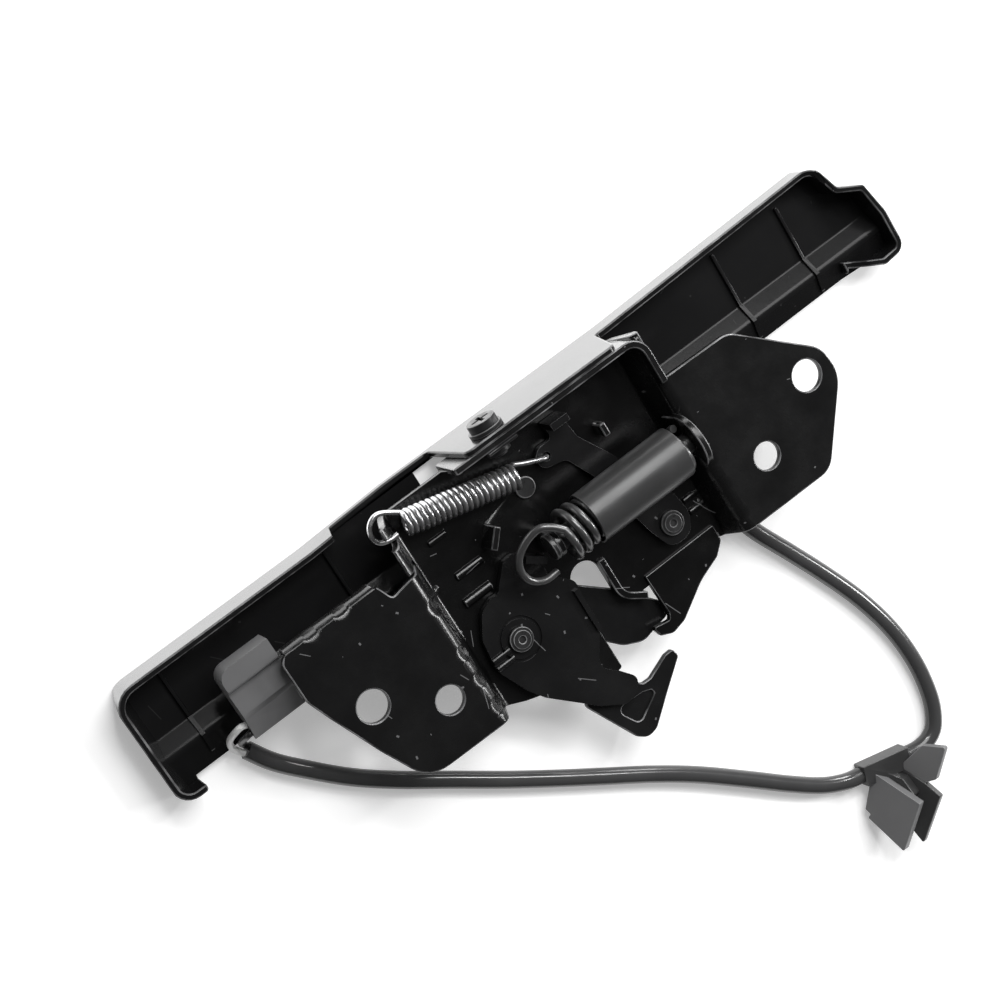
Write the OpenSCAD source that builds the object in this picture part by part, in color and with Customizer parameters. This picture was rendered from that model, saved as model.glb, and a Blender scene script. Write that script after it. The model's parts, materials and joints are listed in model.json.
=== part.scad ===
// Bonnet latch with a cable shield, a safety hook, a switch and its wiring.
// Origin: midway between the outer bolt holes, on the back face of the bracket's wings.
// X runs along the shield, Y towards the shield's tall wall, Z out of the front of the latch.

/* [Bracket] */
// Thickness of the pressed steel sheet
sheet_t = 2.4; // [1.8:0.1:3]
// Distance between the outer bolt holes
bolt_span = 178; // [170:1:184]
// Diameter of the outer bolt holes
bolt_d = 10.6; // [8:0.1:11.4]
// Distance between the inner bolt holes
inner_span = 131; // [126:1:136]
// Diameter of the inner bolt holes
inner_d = 9.3; // [7:0.1:10]
// How far the inner holes sit below the outer ones
inner_drop = 13.6; // [11:0.1:16]
// Place of the inner pair's middle along the latch
inner_x = -2.4; // [-4:0.1:0]
// Place of the pan's own zero along the latch, from the outer pair's middle
latch_x = -1.5; // [-3:0.1:0]
// Depth of the pan below the front of the wings
pan_depth = 12; // [11:0.5:13]
// Left bend of the pan
pan_left = -54; // [-56:0.5:-53]
// Right bend of the pan
pan_right = 46; // [45:0.5:48]
// Inner radius of the pan's bends
bend_r = 2; // [1:0.1:3]
// Height of the top flange above the pan floor
flange_h = 14; // [11:0.5:16]
// Width of the striker slot
slot_w = 11; // [9:0.5:13]

/* [Shield] */
// Length of the shield
shield_len = 301; // [290:1:320]
// Wall thickness of the shield
shield_t = 2.2; // [1.6:0.1:2.6]
// Depth of the shield's back behind the wings
shield_depth = 25.6; // [24:0.2:28]
// Height of the shield's rim above its back
rim_h = 12.5; // [11:0.5:15]
// Height of the screw tab above the shield's back
tab_h = 31; // [29.5:0.5:33]
// Outer face of the shield's tall wall
wall_y = 47.9; // [47.5:0.1:49]

/* [Pivots] */
// Left pivot, for the claw and the safety lever
claw_x = -35; // [-37:0.5:-33]
// Right pivot, for the pawl and the release lever
pawl_x = 28; // [27:0.5:30]
// Both pivots' place along the latch
pivot_y = -15; // [-17:0.5:-14]
// Diameter of the pivot pins
pivot_d = 6; // [5:0.1:6.6]
// Diameter of the pivot heads
pivot_head_d = 8.2; // [7.6:0.1:9]
// Thickness of the pivot washers
washer_t = 0.6; // [0.5:0.1:0.9]
// Running clearance around a pivot pin
run_gap = 0.05; // [0.03:0.01:0.09]
// Side clearance between moving plates
side_gap = 0.3; // [0.2:0.05:0.4]

/* [Springs] */
// Wire of the lift spring
lift_wire = 2.6; // [2.2:0.1:2.8]
// Outside diameter of the lift spring's coils
lift_od = 17.6; // [16.5:0.1:18]
// Distance between the lift spring's coils
lift_pitch = 3.6; // [3.2:0.1:4]
// Outside diameter of the sleeve over the coils
sleeve_od = 18; // [17.6:0.1:18.4]
// Wall of the sleeve
sleeve_wall = 0.7; // [0.5:0.1:0.8]
// Left end of the sleeve
sleeve_x0 = 1.5; // [0:0.5:4]
// Right end of the sleeve
sleeve_x1 = 38.5; // [36:0.5:40]
// Diameter of the pin inside the lift spring
lift_pin_d = 7; // [6:0.1:8]
// Wire of the lever spring
lever_wire = 1.7; // [1.2:0.1:1.8]
// Outside diameter of the lever spring
lever_od = 9; // [8:0.1:9.2]
// Number of coils in the lever spring
lever_coils = 21; // [16:1:22]

/* [Fixings] */
// Diameter of the shield screw
screw_d = 5; // [4:0.1:6]
// Diameter of the screw's flanged head
screw_head_d = 11.5; // [10:0.1:12]
// Height of the screw head
screw_head_h = 4.2; // [3:0.1:5]
// Place of the screw along the shield
screw_x = -9.6; // [-12:0.2:-8]

/* [Switch and wiring] */
// Length of the switch housing
switch_len = 17.5; // [15:0.5:19]
// Depth of the switch housing
switch_h = 9; // [8:0.5:12]
// Diameter of the cable sleeves
conduit_d = 6; // [5:0.1:6.4]
// Diameter of the two leads
lead_d = 2.2; // [1.6:0.1:2.6]

/* [Hidden] */
$fn = 48;

// Levels along Z
pan_top = sheet_t - pan_depth;
pan_back = pan_top - sheet_t;
lever_z = pan_top + washer_t;
lever_top = lever_z + sheet_t;
claw_top = pan_back - side_gap;
claw_z = claw_top - sheet_t;
table_z = -shield_depth;

// Pan walls lean by this much over their height
wall_run = 4;
wall_turn = atan2(pan_depth, wall_run);
wall_shift = sheet_t * tan(wall_turn / 2);
pan_low = -28.8;
flange_y = wall_y - shield_t;
flange_x0 = -27;

// Striker slot
slot_x = -5;
slot_end = -8;
slot_left = slot_x - slot_w / 2;
slot_right = slot_x + slot_w / 2;

// Lift spring axis, just above the release lever that passes under the sleeve
lift_y = 6.5;
lift_z = lever_top + 0.6 + sleeve_od / 2;
lift_r = (lift_od - lift_wire) / 2;
lift_in_r = sleeve_od / 2 - sleeve_wall - 0.3 - lift_wire / 2;
lift_x0 = -8.4;
lift_x1 = 41.5;
ear_gap = 0.4;
ear_x0 = lift_x0 - lift_wire / 2 - ear_gap - sheet_t;
ear_x1 = lift_x1 + lift_wire / 2 + ear_gap;

// Lever spring axis ends
lever_z_axis = pan_top + 0.7 + lever_od / 2;
lever_a = [-47, 38.8, lever_z_axis];
lever_b = [-8.2, 29.4, lever_z_axis];
ear_at = [3.9, 28];

// Pressed darts and the dimple in a rivet's head
dart_r = 4.2;
dart_depth = 1.5;
dimple_d = 2.4;

// Screw through the shield's tab and the bracket's flange
screw_z = table_z + tab_h - 7.2;

// Switch beside the left wing
wing_left = -103.6;
switch_x0 = wing_left - switch_len;
switch_top = -0.4;

// Left pivot and right pivot as points
claw_at = [claw_x, pivot_y];
pawl_at = [pawl_x, pivot_y];

// Cable sleeve routes, laid on the plane of the shield's back
route_z = table_z + conduit_d / 2;
route_a = [[-123.5, 5], [-119, -3], [-112.5, -11], [-101.5, -23], [-89, -34], [-75.5, -44.5],
    [-61.5, -55.5], [-47.5, -66], [-33, -76.5], [-17, -88], [-4, -98.5], [10, -111.5],
    [21.5, -122.5], [31, -130.6], [39, -135.2], [45, -137]];
route_b = [[63, -142], [69, -143.3], [74.5, -142.5], [78.5, -139], [82, -130.5], [83.5, -116.5], [82, -101],
    [77.5, -85], [71, -69.5], [64, -55], [57.5, -42], [54.5, -33]];
// Where the second sleeve rises to its clip behind the right wing
rise_b = [[53.6, -27, 4], [53.5, -21, 10], [53.5, -15, 13]];

// Unit vector
function unit(v) = v / norm(v);

// Points of one rounded corner
function corner(a, b, c, r, n) =
    r == undef || r <= 0 ? [b] :
    let (u = unit(a - b), w = unit(c - b), half = acos(u * w) / 2)
    let (m = b + unit(u + w) * r / sin(half), reach = r / tan(half))
    let (p = b + u * reach - m, q = b + w * reach - m)
    let (a0 = atan2(p.y, p.x), turn = (atan2(q.y, q.x) - a0 + 540) % 360 - 180)
    [for (i = [0:n]) m + r * [cos(a0 + turn * i / n), sin(a0 + turn * i / n)]];

// First two numbers of a point
function flat(p) = [p.x, p.y];

// Closed outline with a radius at each point
function rounded(pts, n = 6) =
    let (k = len(pts))
    [for (i = [0:k - 1])
        each corner(flat(pts[(i + k - 1) % k]), flat(pts[i]), flat(pts[(i + 1) % k]), pts[i][2], n)];

// Open line with a radius at each inner point
function bent(pts, n = 6) =
    let (k = len(pts))
    [for (i = [0:k - 1])
        each i == 0 || i == k - 1 ? [flat(pts[i])] :
        corner(flat(pts[i - 1]), flat(pts[i]), flat(pts[i + 1]), pts[i][2], n)];

// List in the opposite order
function backwards(v) = [for (i = [len(v) - 1:-1:0]) v[i]];

// Smooth curve through a list of points
function blend(a, b, c, d, t) =
    0.5 * (2 * b + (c - a) * t + (2 * a - 5 * b + 4 * c - d) * t * t + (3 * b - a - 3 * c + d) * t * t * t);
function smooth(p, n) =
    let (k = len(p) - 1)
    concat([for (i = [0:k - 1], j = [0:n - 1])
        blend(p[max(i - 1, 0)], p[i], p[i + 1], p[min(i + 2, k)], j / n)], [p[k]]);

// Direction of a path at one of its points
function heading(p, i) = unit(p[min(i + 1, len(p) - 1)] - p[max(i - 1, 0)]);
function square_to(v, t) = unit(v - (v * t) * t);

// Round wire or tube along a path
module wire(path, r, sides) {
    k = len(path);
    t0 = heading(path, 0);
    first = square_to(abs(t0.z) < 0.9 ? [0, 0, 1] : [1, 0, 0], t0);
    side = [for (i = 0, s = first; i < k;
        i = i + 1, s = i < k ? square_to(s, heading(path, i)) : s) s];
    pts = [for (i = [0:k - 1], j = [0:sides - 1])
        let (t = heading(path, i), a = 360 * j / sides)
        path[i] + r * (cos(a) * side[i] + sin(a) * cross(t, side[i]))];
    skin = [for (i = [0:k - 2], j = [0:sides - 1])
        let (n = (j + 1) % sides)
        [i * sides + n, i * sides + j, (i + 1) * sides + j, (i + 1) * sides + n]];
    polyhedron(concat(pts), concat([[for (j = [0:sides - 1]) j]], skin,
        [[for (j = [sides - 1:-1:0]) (k - 1) * sides + j]]));
}

// Plate of an outline between two heights
module plate(pts, z, t) {
    translate([0, 0, z])
        linear_extrude(t)
            polygon(rounded(pts));
}

// Upright disc or hole
module post(at, d, z0, z1) {
    translate([at.x, at.y, z0])
        cylinder(d = d, h = z1 - z0);
}

// Prism along Y from a profile in X and Z
module along_y(pts, y0, y1) {
    translate([0, y1, 0])
        rotate([90, 0, 0])
            linear_extrude(y1 - y0)
                polygon(pts);
}

// Prism along X from a profile in Y and Z
module along_x(pts, x0, x1) {
    translate([x0, 0, 0])
        rotate([90, 0, 90])
            linear_extrude(x1 - x0)
                polygon(pts);
}

// Bar along X
module bar_x(y, z, d, x0, x1) {
    translate([x0, y, z])
        rotate([0, 90, 0])
            cylinder(d = d, h = x1 - x0);
}

// Front line of the bracket seen along Y, from wing to pan to wing
front_line = [[-120, sheet_t], [pan_left, sheet_t, bend_r + sheet_t],
    [pan_left + wall_run, pan_top, bend_r], [pan_right - wall_run, pan_top, bend_r],
    [pan_right, sheet_t, bend_r + sheet_t], [120, sheet_t]];
// Back line of the bracket, one sheet thickness behind
back_line = [[-120, 0], [pan_left - wall_shift, 0, bend_r],
    [pan_left + wall_run - wall_shift, pan_back, bend_r + sheet_t],
    [pan_right - wall_run + wall_shift, pan_back, bend_r + sheet_t],
    [pan_right + wall_shift, 0, bend_r], [120, 0]];

// Left wing, with a relief notch beside the pan
left_wing = [[pan_left + 5, 25], [-56.5, 25.3, 2], [-64, 24, 1.5], [-66.3, 29.6, 1], [wing_left, 29.6, 3],
    [wing_left, 13.5, 8], [-100.6, 5.2, 20], [-93, -13.8, 30], [-85.3, -30.4, 12],
    [pan_left + 5, -31.2]];
// Right wing, narrowing to the outer bolt hole
right_wing = [[pan_right - 5, 28.4], [74, 27.8, 8], [99.8, 4.8, 10], [101.2, -6, 12], [81.5, -31, 8],
    [pan_right - 5, -30.6]];
// Sunk pan between the wings
pan_plan = [[pan_left - 2.2, 43.5, 1], [pan_left - 2.2, 26], [pan_left + 4, 26], [pan_left + 4, -31.2],
    [-43.4, -34.2], [-36, -36.6, 2], [-31, pan_low], [pan_right - 4, pan_low], [pan_right - 4, 26],
    [pan_right + 2, 26], [pan_right + 2, flange_y], [flange_x0, flange_y], [flange_x0, 43.5]];
// Guide beside the slot's mouth on the right
right_horn = [[11.4, -25], [12, -40, 1], [11, -42, 1], [4.4, -40.6, 1], [5.6, -44.6, 1.5], [10, -46.6, 3],
    [15.5, -45.4, 5], [27.3, -38.1, 20], [36.3, -34.9, 3], [40.5, -31, 2], [40.5, -25]];
// Guide beside the slot's mouth on the left
left_horn = [[-10.5, -25], [slot_left, -45.4, 1], [-12.8, -45.6, 1.5], [-21.5, -37.5, 6], [-31, -25]];

// Darts pressed across a bend, at a point on its sharp corner
module dart(at, turn, depth) {
    translate(at)
        rotate(turn)
            translate([0, 0, dart_r - depth])
                rotate([0, 90, 0])
                    cylinder(r = dart_r, h = 20, center = true);
}

module darts() {
    lean = wall_turn / 2;
    bend_cut = dart_depth + (bend_r + sheet_t) * (1 / cos(lean) - 1);
    lip_cut = dart_depth + lip_r * (sqrt(2) - 1);
    for (y = [13, -4.5, -14.5, -25])
        dart([pan_left, y, sheet_t], [0, lean, 0], bend_cut);
    for (y = [-3, -12.5, -24])
        dart([pan_right, y, sheet_t], [0, -lean, 0], bend_cut);
    for (x = [-91, -79.5])
        dart([x, lip_y, sheet_t], [0, 45, 90], lip_cut);
}

module base_bracket() {
    color("#1c1c1d") translate([latch_x, 0, 0]) difference() {
        union() {
            intersection() {
                along_y(concat(bent(front_line), backwards(bent(back_line))), -40, flange_y);
                union() {
                    plate(left_wing, pan_back - 1, pan_depth + sheet_t + 2);
                    plate(right_wing, pan_back - 1, pan_depth + sheet_t + 2);
                    plate(pan_plan, pan_back - 1, pan_depth + sheet_t + 2);
                }
            }
            plate(right_horn, pan_back + 1.2, sheet_t);
            plate(left_horn, pan_back, sheet_t);
            flange();
            wing_lip();
            slot_lip();
            pin_ears();
            pan_beads();
        }
        for (s = [-1, 1]) {
            post([s * bolt_span / 2 - latch_x, 0], bolt_d, -1, sheet_t + 1);
            post([inner_x + s * inner_span / 2 - latch_x, -inner_drop], inner_d, -1, sheet_t + 1);
        }
        slot_cut();
        post(claw_at, pivot_d, pan_back - 1, pan_top + 1);
        post(pawl_at, pivot_d + 2 * run_gap, pan_back - 1, pan_top + 2);
        post([-6.7, 23.4], 4.4, pan_back - 1, pan_top + 1);
        bar_x(lift_y, lift_z, lift_pin_d, ear_x0 - 1, ear_x1 + sheet_t);
        translate([screw_x, flange_y - sheet_t - 1, screw_z])
            rotate([-90, 0, 0])
                cylinder(d = screw_d + 0.6, h = sheet_t + 2);
        // Notch where the lever spring hooks round the bracket's corner
        translate([pan_left - 6, 35.2, lever_z_axis - 4])
            cube([9, 4.2, 20]);
        darts();
    }
}

// Top flange and its return along the pan's right side
module flange() {
    wall = [[flange_x0, flange_y], [pan_right + 2, flange_y, 7], [pan_right + 2, 27.5],
        [pan_right + 2 - sheet_t, 27.5], [pan_right + 2 - sheet_t, flange_y - sheet_t, 7 - sheet_t],
        [flange_x0, flange_y - sheet_t]];
    plate(wall, pan_back, sheet_t + flange_h);
}

// Turned-down lip along the left wing's upper edge
lip_y = 31;
lip_r = 3.2;
module wing_lip() {
    lip = bent([[27, sheet_t], [lip_y, sheet_t, lip_r], [lip_y, -3.4]]);
    inner = bent([[lip_y - sheet_t, -3.4], [lip_y - sheet_t, 0, 0.8], [27, 0]]);
    along_x(concat(lip, inner), wing_left + 2.5, -67.5);
}

// Raised lip along the slot's right side
module slot_lip() {
    edge = bent([[slot_right, -11], [slot_right, -26, 7], [8.6, -31.8]]);
    outer = bent([[9.8, -29.4], [slot_right + 2.6, -25, 5], [slot_right + 2.6, -11]]);
    translate([0, 0, pan_back])
        linear_extrude(sheet_t + 1.6)
            polygon(concat(edge, outer));
}

// Ears that carry the lift spring's pin, the right one as large as the sleeve
module pin_ears() {
    for (e = [[ear_x0, 8.8], [ear_x1, sleeve_od + 1.2]]) {
        translate([e[0], lift_y - e[1] / 2, pan_back + 0.5])
            cube([sheet_t, e[1], lift_z - pan_back - 0.5]);
        bar_x(lift_y, lift_z, e[1], e[0], e[0] + sheet_t);
    }
}

// Pressed beads, lanced tabs and stops on the pan
module pan_beads() {
    for (b = [[4.3, -43.5, -32.8, 3.6], [13, -41.2, -30.6, 3], [27, -43, -36, 2.4]])
        bar_x(b[0], pan_top - 0.3, b[3], b[1], b[2]);
    for (d = [-2.2, 2.2])
        bar_x(pivot_y + d, pan_top - 0.2, 2.4, pawl_x + 8, pan_right - wall_run);
    // Stop for the release lever
    translate([23, 22.2, pan_back + 0.5])
        cube([2.2, 4.6, 8]);
    // Leaning tab beside the lift spring's hook
    translate([-28.2, 15.2, pan_back + 0.5])
        rotate([0, 0, 49])
            translate([0, -sheet_t / 2, 0])
                cube([7.6, sheet_t, 10.5]);
    // Peg on the left wall
    bar_x(15.6, -3.5, 3, pan_left + 0.5, pan_left + 5);
}

// Striker slot with a round end and a flared mouth
module slot_cut() {
    mouth = [[slot_left, slot_end - slot_w / 2], [slot_right, slot_end - slot_w / 2],
        [slot_right, -26, 7], [8.6, -31.8], [8.6, -33], [11.4, -33], [11.4, -39.9], [3, -39.9], [3, -60],
        [slot_left, -60]];
    translate([0, 0, pan_back - 1])
        linear_extrude(sheet_t + 4)
            polygon(rounded(mouth));
    post([slot_x, slot_end - slot_w / 2], slot_w, pan_back - 1, pan_top + 3);
}

// Plan of the shield, with a stepped right end and an ear at each end
left_x = -shield_len / 2 + 0.2;
right_x = shield_len / 2 + 1.2;
shield_top = [[left_x, wall_y - 1.5, 8], [-75, wall_y - 1.5], [-42, wall_y], [46, wall_y],
    [right_x - 15, wall_y + 3, 5], [right_x - 11.2, 40.2, 3], [right_x - 2.6, 35.8, 1.5], [right_x, 24, 10],
    [right_x, 9.5, 4.5], [right_x - 9, 8.5, 3]];
shield_low = [[right_x - 22, 10.8], [left_x + 22, 8], [left_x + 10, 8], [left_x + 9.6, 5, 1.2],
    [left_x, 5, 6.5]];
shield_plan = concat(shield_top, [[right_x - 20, 14]], shield_low);
floor_plan = concat(shield_top, [[right_x - 13.5, 10.2, 2]], shield_low);
// Space inside the shield's walls, open along the free edge
room_y = wall_y - shield_t;
shield_room = [[left_x + shield_t, room_y - 1.5, 6], [-75, room_y - 1.5], [-42, room_y], [46, room_y],
    [right_x - 16.6, room_y + 3, 3], [right_x - 12.9, 38.8, 3], [right_x - 4.3, 34.4, 1.5],
    [right_x - shield_t, 23.6, 8], [right_x - shield_t, 11.5, 2], [right_x - 9, 10.9, 2], [right_x - 21, 17],
    [right_x - 21, -5], [left_x + 11, -5], [left_x + 11, 5 + shield_t],
    [left_x + shield_t, 5 + shield_t, 4.3]];
// The left end wall leans out from its foot
end_lean = 4.6;
end_line = [[left_x + end_lean, -1], [left_x + end_lean, 0], [left_x, rim_h], [left_x, tab_h + 1],
    [right_x + 5, tab_h + 1], [right_x + 5, -1]];
// Rim heights along the shield: full, cut low, screw tab, then falling to the right
rim_low = 3.2;
rim_right = 8.4;
rim_line = [[left_x - 5, 0], [left_x - 5, rim_h], [-66, rim_h, 1.5], [-63.5, rim_low, 1], [-24, rim_low, 2],
    [-21, tab_h, 3], [38, tab_h, 3], [42, rim_right + 0.6, 2], [right_x - 19, rim_right, 4],
    [right_x - 14, 12, 4], [right_x + 5, 13], [right_x + 5, 0]];
// Floor section: flat, then a ridge that falls to the free edge
floor_front = bent([[wall_y + 1.8, shield_t], [24.4, shield_t, 1.5], [18.6, shield_t + 4, 3],
    [5, shield_t - 0.8]]);
floor_back = [[5, -0.6], [17.5, 2.8], [23.6, 0], [wall_y + 1.8, 0]];
// Section of a cross rib that runs from the tall wall over the ridge
floor_rib = [[room_y - 1, 1], [room_y - 1, shield_t + 1.2], [24.9, shield_t + 1.2], [18.7, shield_t + 5],
    [11.8, shield_t + 2.5], [11.8, 2.4], [18, 4.2], [23.9, 1]];

// Walls of the shield under its rim line
module shield_walls() {
    intersection() {
        along_y(rounded(rim_line), -10, wall_y + 9);
        along_y(end_line, -10, wall_y + 9);
        difference() {
            linear_extrude(tab_h)
                polygon(rounded(shield_plan));
            intersection() {
                translate([0, 0, -1])
                    linear_extrude(tab_h + 2)
                        polygon(rounded(shield_room));
                translate([shield_t, 0, 0])
                    along_y(end_line, -10, wall_y + 9);
            }
        }
    }
}

module cable_shield() {
    color("#161617") translate([latch_x, 0, table_z]) difference() {
        union() {
            shield_walls();
            intersection() {
                along_x(concat(floor_front, floor_back), left_x - 5, right_x + 5);
                along_y(end_line, -10, wall_y + 9);
                linear_extrude(rim_h)
                    polygon(rounded(floor_plan));
            }
            for (x = [-132, -69, 93.5, 121.5])
                along_x(floor_rib, x - 0.7, x + 0.7);
        }
        // Window behind the pan
        translate([-31, 27, -1])
            cube([74, room_y - 27.5, 6]);
        // Screw hole in the tab
        translate([screw_x, room_y - 1, screw_z - table_z])
            rotate([-90, 0, 0])
                cylinder(d = screw_d + 0.6, h = shield_t + 2);
    }
}

module cover_screw() {
    color("#3a3a3c") translate([latch_x + screw_x, wall_y, screw_z]) rotate([-90, 0, 0]) difference() {
        union() {
            cylinder(d = screw_head_d, h = screw_head_h * 0.35);
            cylinder(d = screw_head_d - 1.6, h = screw_head_h);
            translate([0, 0, -9])
                cylinder(d = screw_d, h = 9.5);
        }
        for (a = [0, 90])
            rotate([0, 0, a])
                translate([-3, -0.65, screw_head_h - 1.8])
                    cube([6, 1.3, 3]);
    }
}

// Spring nut folded over the flange's free edge
module clip_nut() {
    nut_top = pan_top + flange_h;
    fold = [[flange_y - sheet_t - 1.1, screw_z - 5], [flange_y - sheet_t, screw_z - 5],
        [flange_y - sheet_t, nut_top], [flange_y - sheet_t - 0.1, nut_top + 1.1],
        [flange_y - sheet_t - 1.1, nut_top + 0.6]];
    color("#4a4a4c") translate([latch_x, 0, 0]) difference() {
        union() {
            along_x(fold, screw_x - 5.5, screw_x + 5.5);
            translate([screw_x, flange_y - sheet_t - 3.4, screw_z])
                rotate([-90, 0, 0])
                    cylinder(d = screw_d + 3, h = 3);
        }
        translate([screw_x, flange_y - sheet_t - 5, screw_z])
            rotate([-90, 0, 0])
                cylinder(d = screw_d, h = 6);
    }
}

// Claw behind the pan, with its jaw across the slot
claw_plan = [[-41, -7, 6], [-24, -6.5, 3], [-8, -14.6, 4], [1.6, -23, 6], [14, -37.4, 3], [13.2, -41.8, 3],
    [6, -43, 6], [1.2, -44.2, 6], [-5.5, -41, 8], [-11, -35, 8], [-24, -26, 10], [-39, -24, 8],
    [-45.5, -15, 8]];

module claw() {
    color("#121213") translate([latch_x, 0, 0]) difference() {
        plate(claw_plan, claw_z, sheet_t);
        post(claw_at, pivot_d + 2 * run_gap, claw_z - 1, claw_top + 1);
    }
}

// Left pivot, riveted in the pan
module claw_rivet() {
    head_z = lever_top + side_gap;
    tail_z = claw_z - side_gap;
    color("#202021") translate([latch_x, 0, 0]) difference() {
        union() {
            post(claw_at, pivot_d, tail_z - 1.8, head_z + 0.5);
            post(claw_at, pivot_head_d, head_z, head_z + 1.3);
            post(claw_at, pivot_head_d - 2, head_z + 1, head_z + 1.8);
            post(claw_at, pivot_head_d + 1.5, tail_z - 1.8, tail_z);
        }
        post(claw_at, dimple_d, head_z + 1.2, head_z + 3);
    }
}

// Flat ring round a pivot
module washer(at, hole) {
    difference() {
        post(at, 12.5, pan_top, lever_z);
        post(at, hole, pan_top - 1, lever_z + 1);
    }
}

module pivot_washer() {
    color("#2a2a2b") translate([latch_x, 0, 0]) washer(claw_at, pivot_d);
}

module lever_washer() {
    color("#2a2a2b") translate([latch_x, 0, 0]) washer(pawl_at, pivot_d + 2 * run_gap);
}

// Safety lever in front of the pan, with the finger that is pushed by hand
lever_plan = [[-45.6, -8, 5], [-41, -0.4, 5], [-36, 1.6, 3], [-33.4, 1.2, 2], [-26.4, 8.8, 1.5],
    [-22.6, 9.2, 1], [-14.4, 3.4, 1], [-16.5, -3.5, 3], [-9.6, -10.6, 4], [-10.6, -21.7],
    [-10.6, -28, 5], [-15.7, -35.6, 5],
    [-18.3, -39, 4], [-12.5, -45, 6], [-8.6, -50, 3], [-11.5, -54, 3], [-16.5, -55.2, 3], [-24.5, -50, 8],
    [-38.4, -36, 10], [-42, -30.5, 8], [-47, -19, 8]];
tab_at = [-18.9, 5.2];

module safety_lever() {
    color("#19191a") translate([latch_x, 0, 0]) difference() {
        union() {
            plate(lever_plan, lever_z, sheet_t);
            // Upright tab that the lift spring's hook pulls on
            translate([tab_at.x, tab_at.y, lever_z])
                rotate([0, 0, -36.5])
                    translate([-3.6, -sheet_t / 2, 0])
                        cube([7.2, sheet_t, 10]);
            // Turned-up edge beside the slot
            translate([-12.2, -29, lever_z])
                cube([1.6, 16, sheet_t + 1.2]);
            // Bars pressed up beside the pivot
            for (d = [-3.6, -0.6])
                bar_x(pivot_y + d, lever_top, 2.4, claw_x - 11.6, claw_x - 4.9);
        }
        post(claw_at, pivot_d + 2 * run_gap, lever_z - 1, lever_top + 1);
        // Pressed recess round the pivot
        difference() {
            post(claw_at, 15, lever_top - 0.5, lever_top + 1);
            post(claw_at, 13, lever_top - 1, lever_top + 2);
        }
    }
}

// Hook that holds the striker when the claw has let go
hook_plan = [[-30, -44.6, 2], [-24, -47.3], [-9.6, -50.6, 1], [-8.4, -54, 2], [-4.8, -54.2, 3],
    [3.6, -51, 1], [6.8, -50.9, 1.2], [7.5, -54, 1.4], [-3.1, -62.4, 8], [-11.6, -69.4, 4],
    [-15.6, -70.2, 4], [-19, -67.4, 4]];
hook_dish = [[-20.6, -55.5, 2], [-15.6, -64.4, 2], [-4.6, -58.2, 1.2], [-9.5, -56.4, 1]];

module safety_hook() {
    hook_z = lever_z - sheet_t;
    color("#1a1a1b") translate([latch_x, 0, 0]) difference() {
        plate(hook_plan, hook_z, sheet_t);
        plate(hook_dish, lever_z - 0.7, 2);
    }
}

// Pawl behind the pan, its nose just clear of the claw
pawl_plan = [[pawl_x + 9, pivot_y - 3, 6], [pawl_x + 7, pivot_y + 8, 5], [10, 3, 10], [-15, 2, 3],
    [-20, -2, 3], [-18.8, -8.2, 1], [-12.8, -11.1, 1], [-11, -7, 2], [2, -6.8, 8],
    [pawl_x - 8, pivot_y - 6, 6],
    [pawl_x, pivot_y - 9.5, 6]];

module pawl() {
    color("#151516") translate([latch_x, 0, 0]) difference() {
        plate(pawl_plan, claw_z, sheet_t);
        post(pawl_at, pivot_d, claw_z - 1, claw_top + 1);
    }
}

// Right pivot, fixed to the pawl and the release lever and turning in the pan
module pawl_pin() {
    color("#222223") translate([latch_x, 0, 0]) difference() {
        union() {
            post(pawl_at, pivot_d, claw_z - 1.6, lever_top + 0.3);
            post(pawl_at, pivot_head_d, lever_top, lever_top + 1.3);
            post(pawl_at, pivot_head_d - 2, lever_top + 1, lever_top + 1.8);
            post(pawl_at, pivot_head_d + 1.5, claw_z - 1.6, claw_z);
        }
        post(pawl_at, dimple_d, lever_top + 1.2, lever_top + 3);
    }
}

// Release lever in front of the pan, from the right pivot to the spring's ear
release_plan = [[pawl_x + 7.2, pivot_y - 1, 6], [pawl_x + 6, pivot_y + 7, 4], [22.6, 16, 8], [16, 27.4, 4],
    [14.8, 37.6, 1], [8.2, 37.6, 1], [8.6, 31.4, 2], [3.4, 31.9, 3], [0, 29.4, 3], [1, 25, 3], [9, 23.4, 4],
    [14, 13, 8], [pawl_x - 7.6, pivot_y + 2, 8], [pawl_x - 4, pivot_y - 7.2, 5],
    [pawl_x + 4, pivot_y - 7.2, 5]];

module release_lever() {
    color("#1d1d1e") translate([latch_x, 0, 0]) difference() {
        union() {
            plate(release_plan, lever_z, sheet_t);
            // Upright tab for the release cable's end
            translate([8.2, 35.2, lever_z])
                cube([6.6, sheet_t, 9]);
        }
        post(pawl_at, pivot_d, lever_z - 1, lever_top + 1);
        post(ear_at, 3, lever_z - 1, lever_top + 1);
    }
}

module pan_rivet() {
    at = [-6.7, 23.4];
    color("#202021") translate([latch_x, 0, 0]) {
        post(at, 7, pan_top, pan_top + 1.2);
        post(at, 4.4, pan_back - 0.5, pan_top + 0.5);
        post(at, 7, pan_back - 1.4, pan_back);
    }
}

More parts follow.
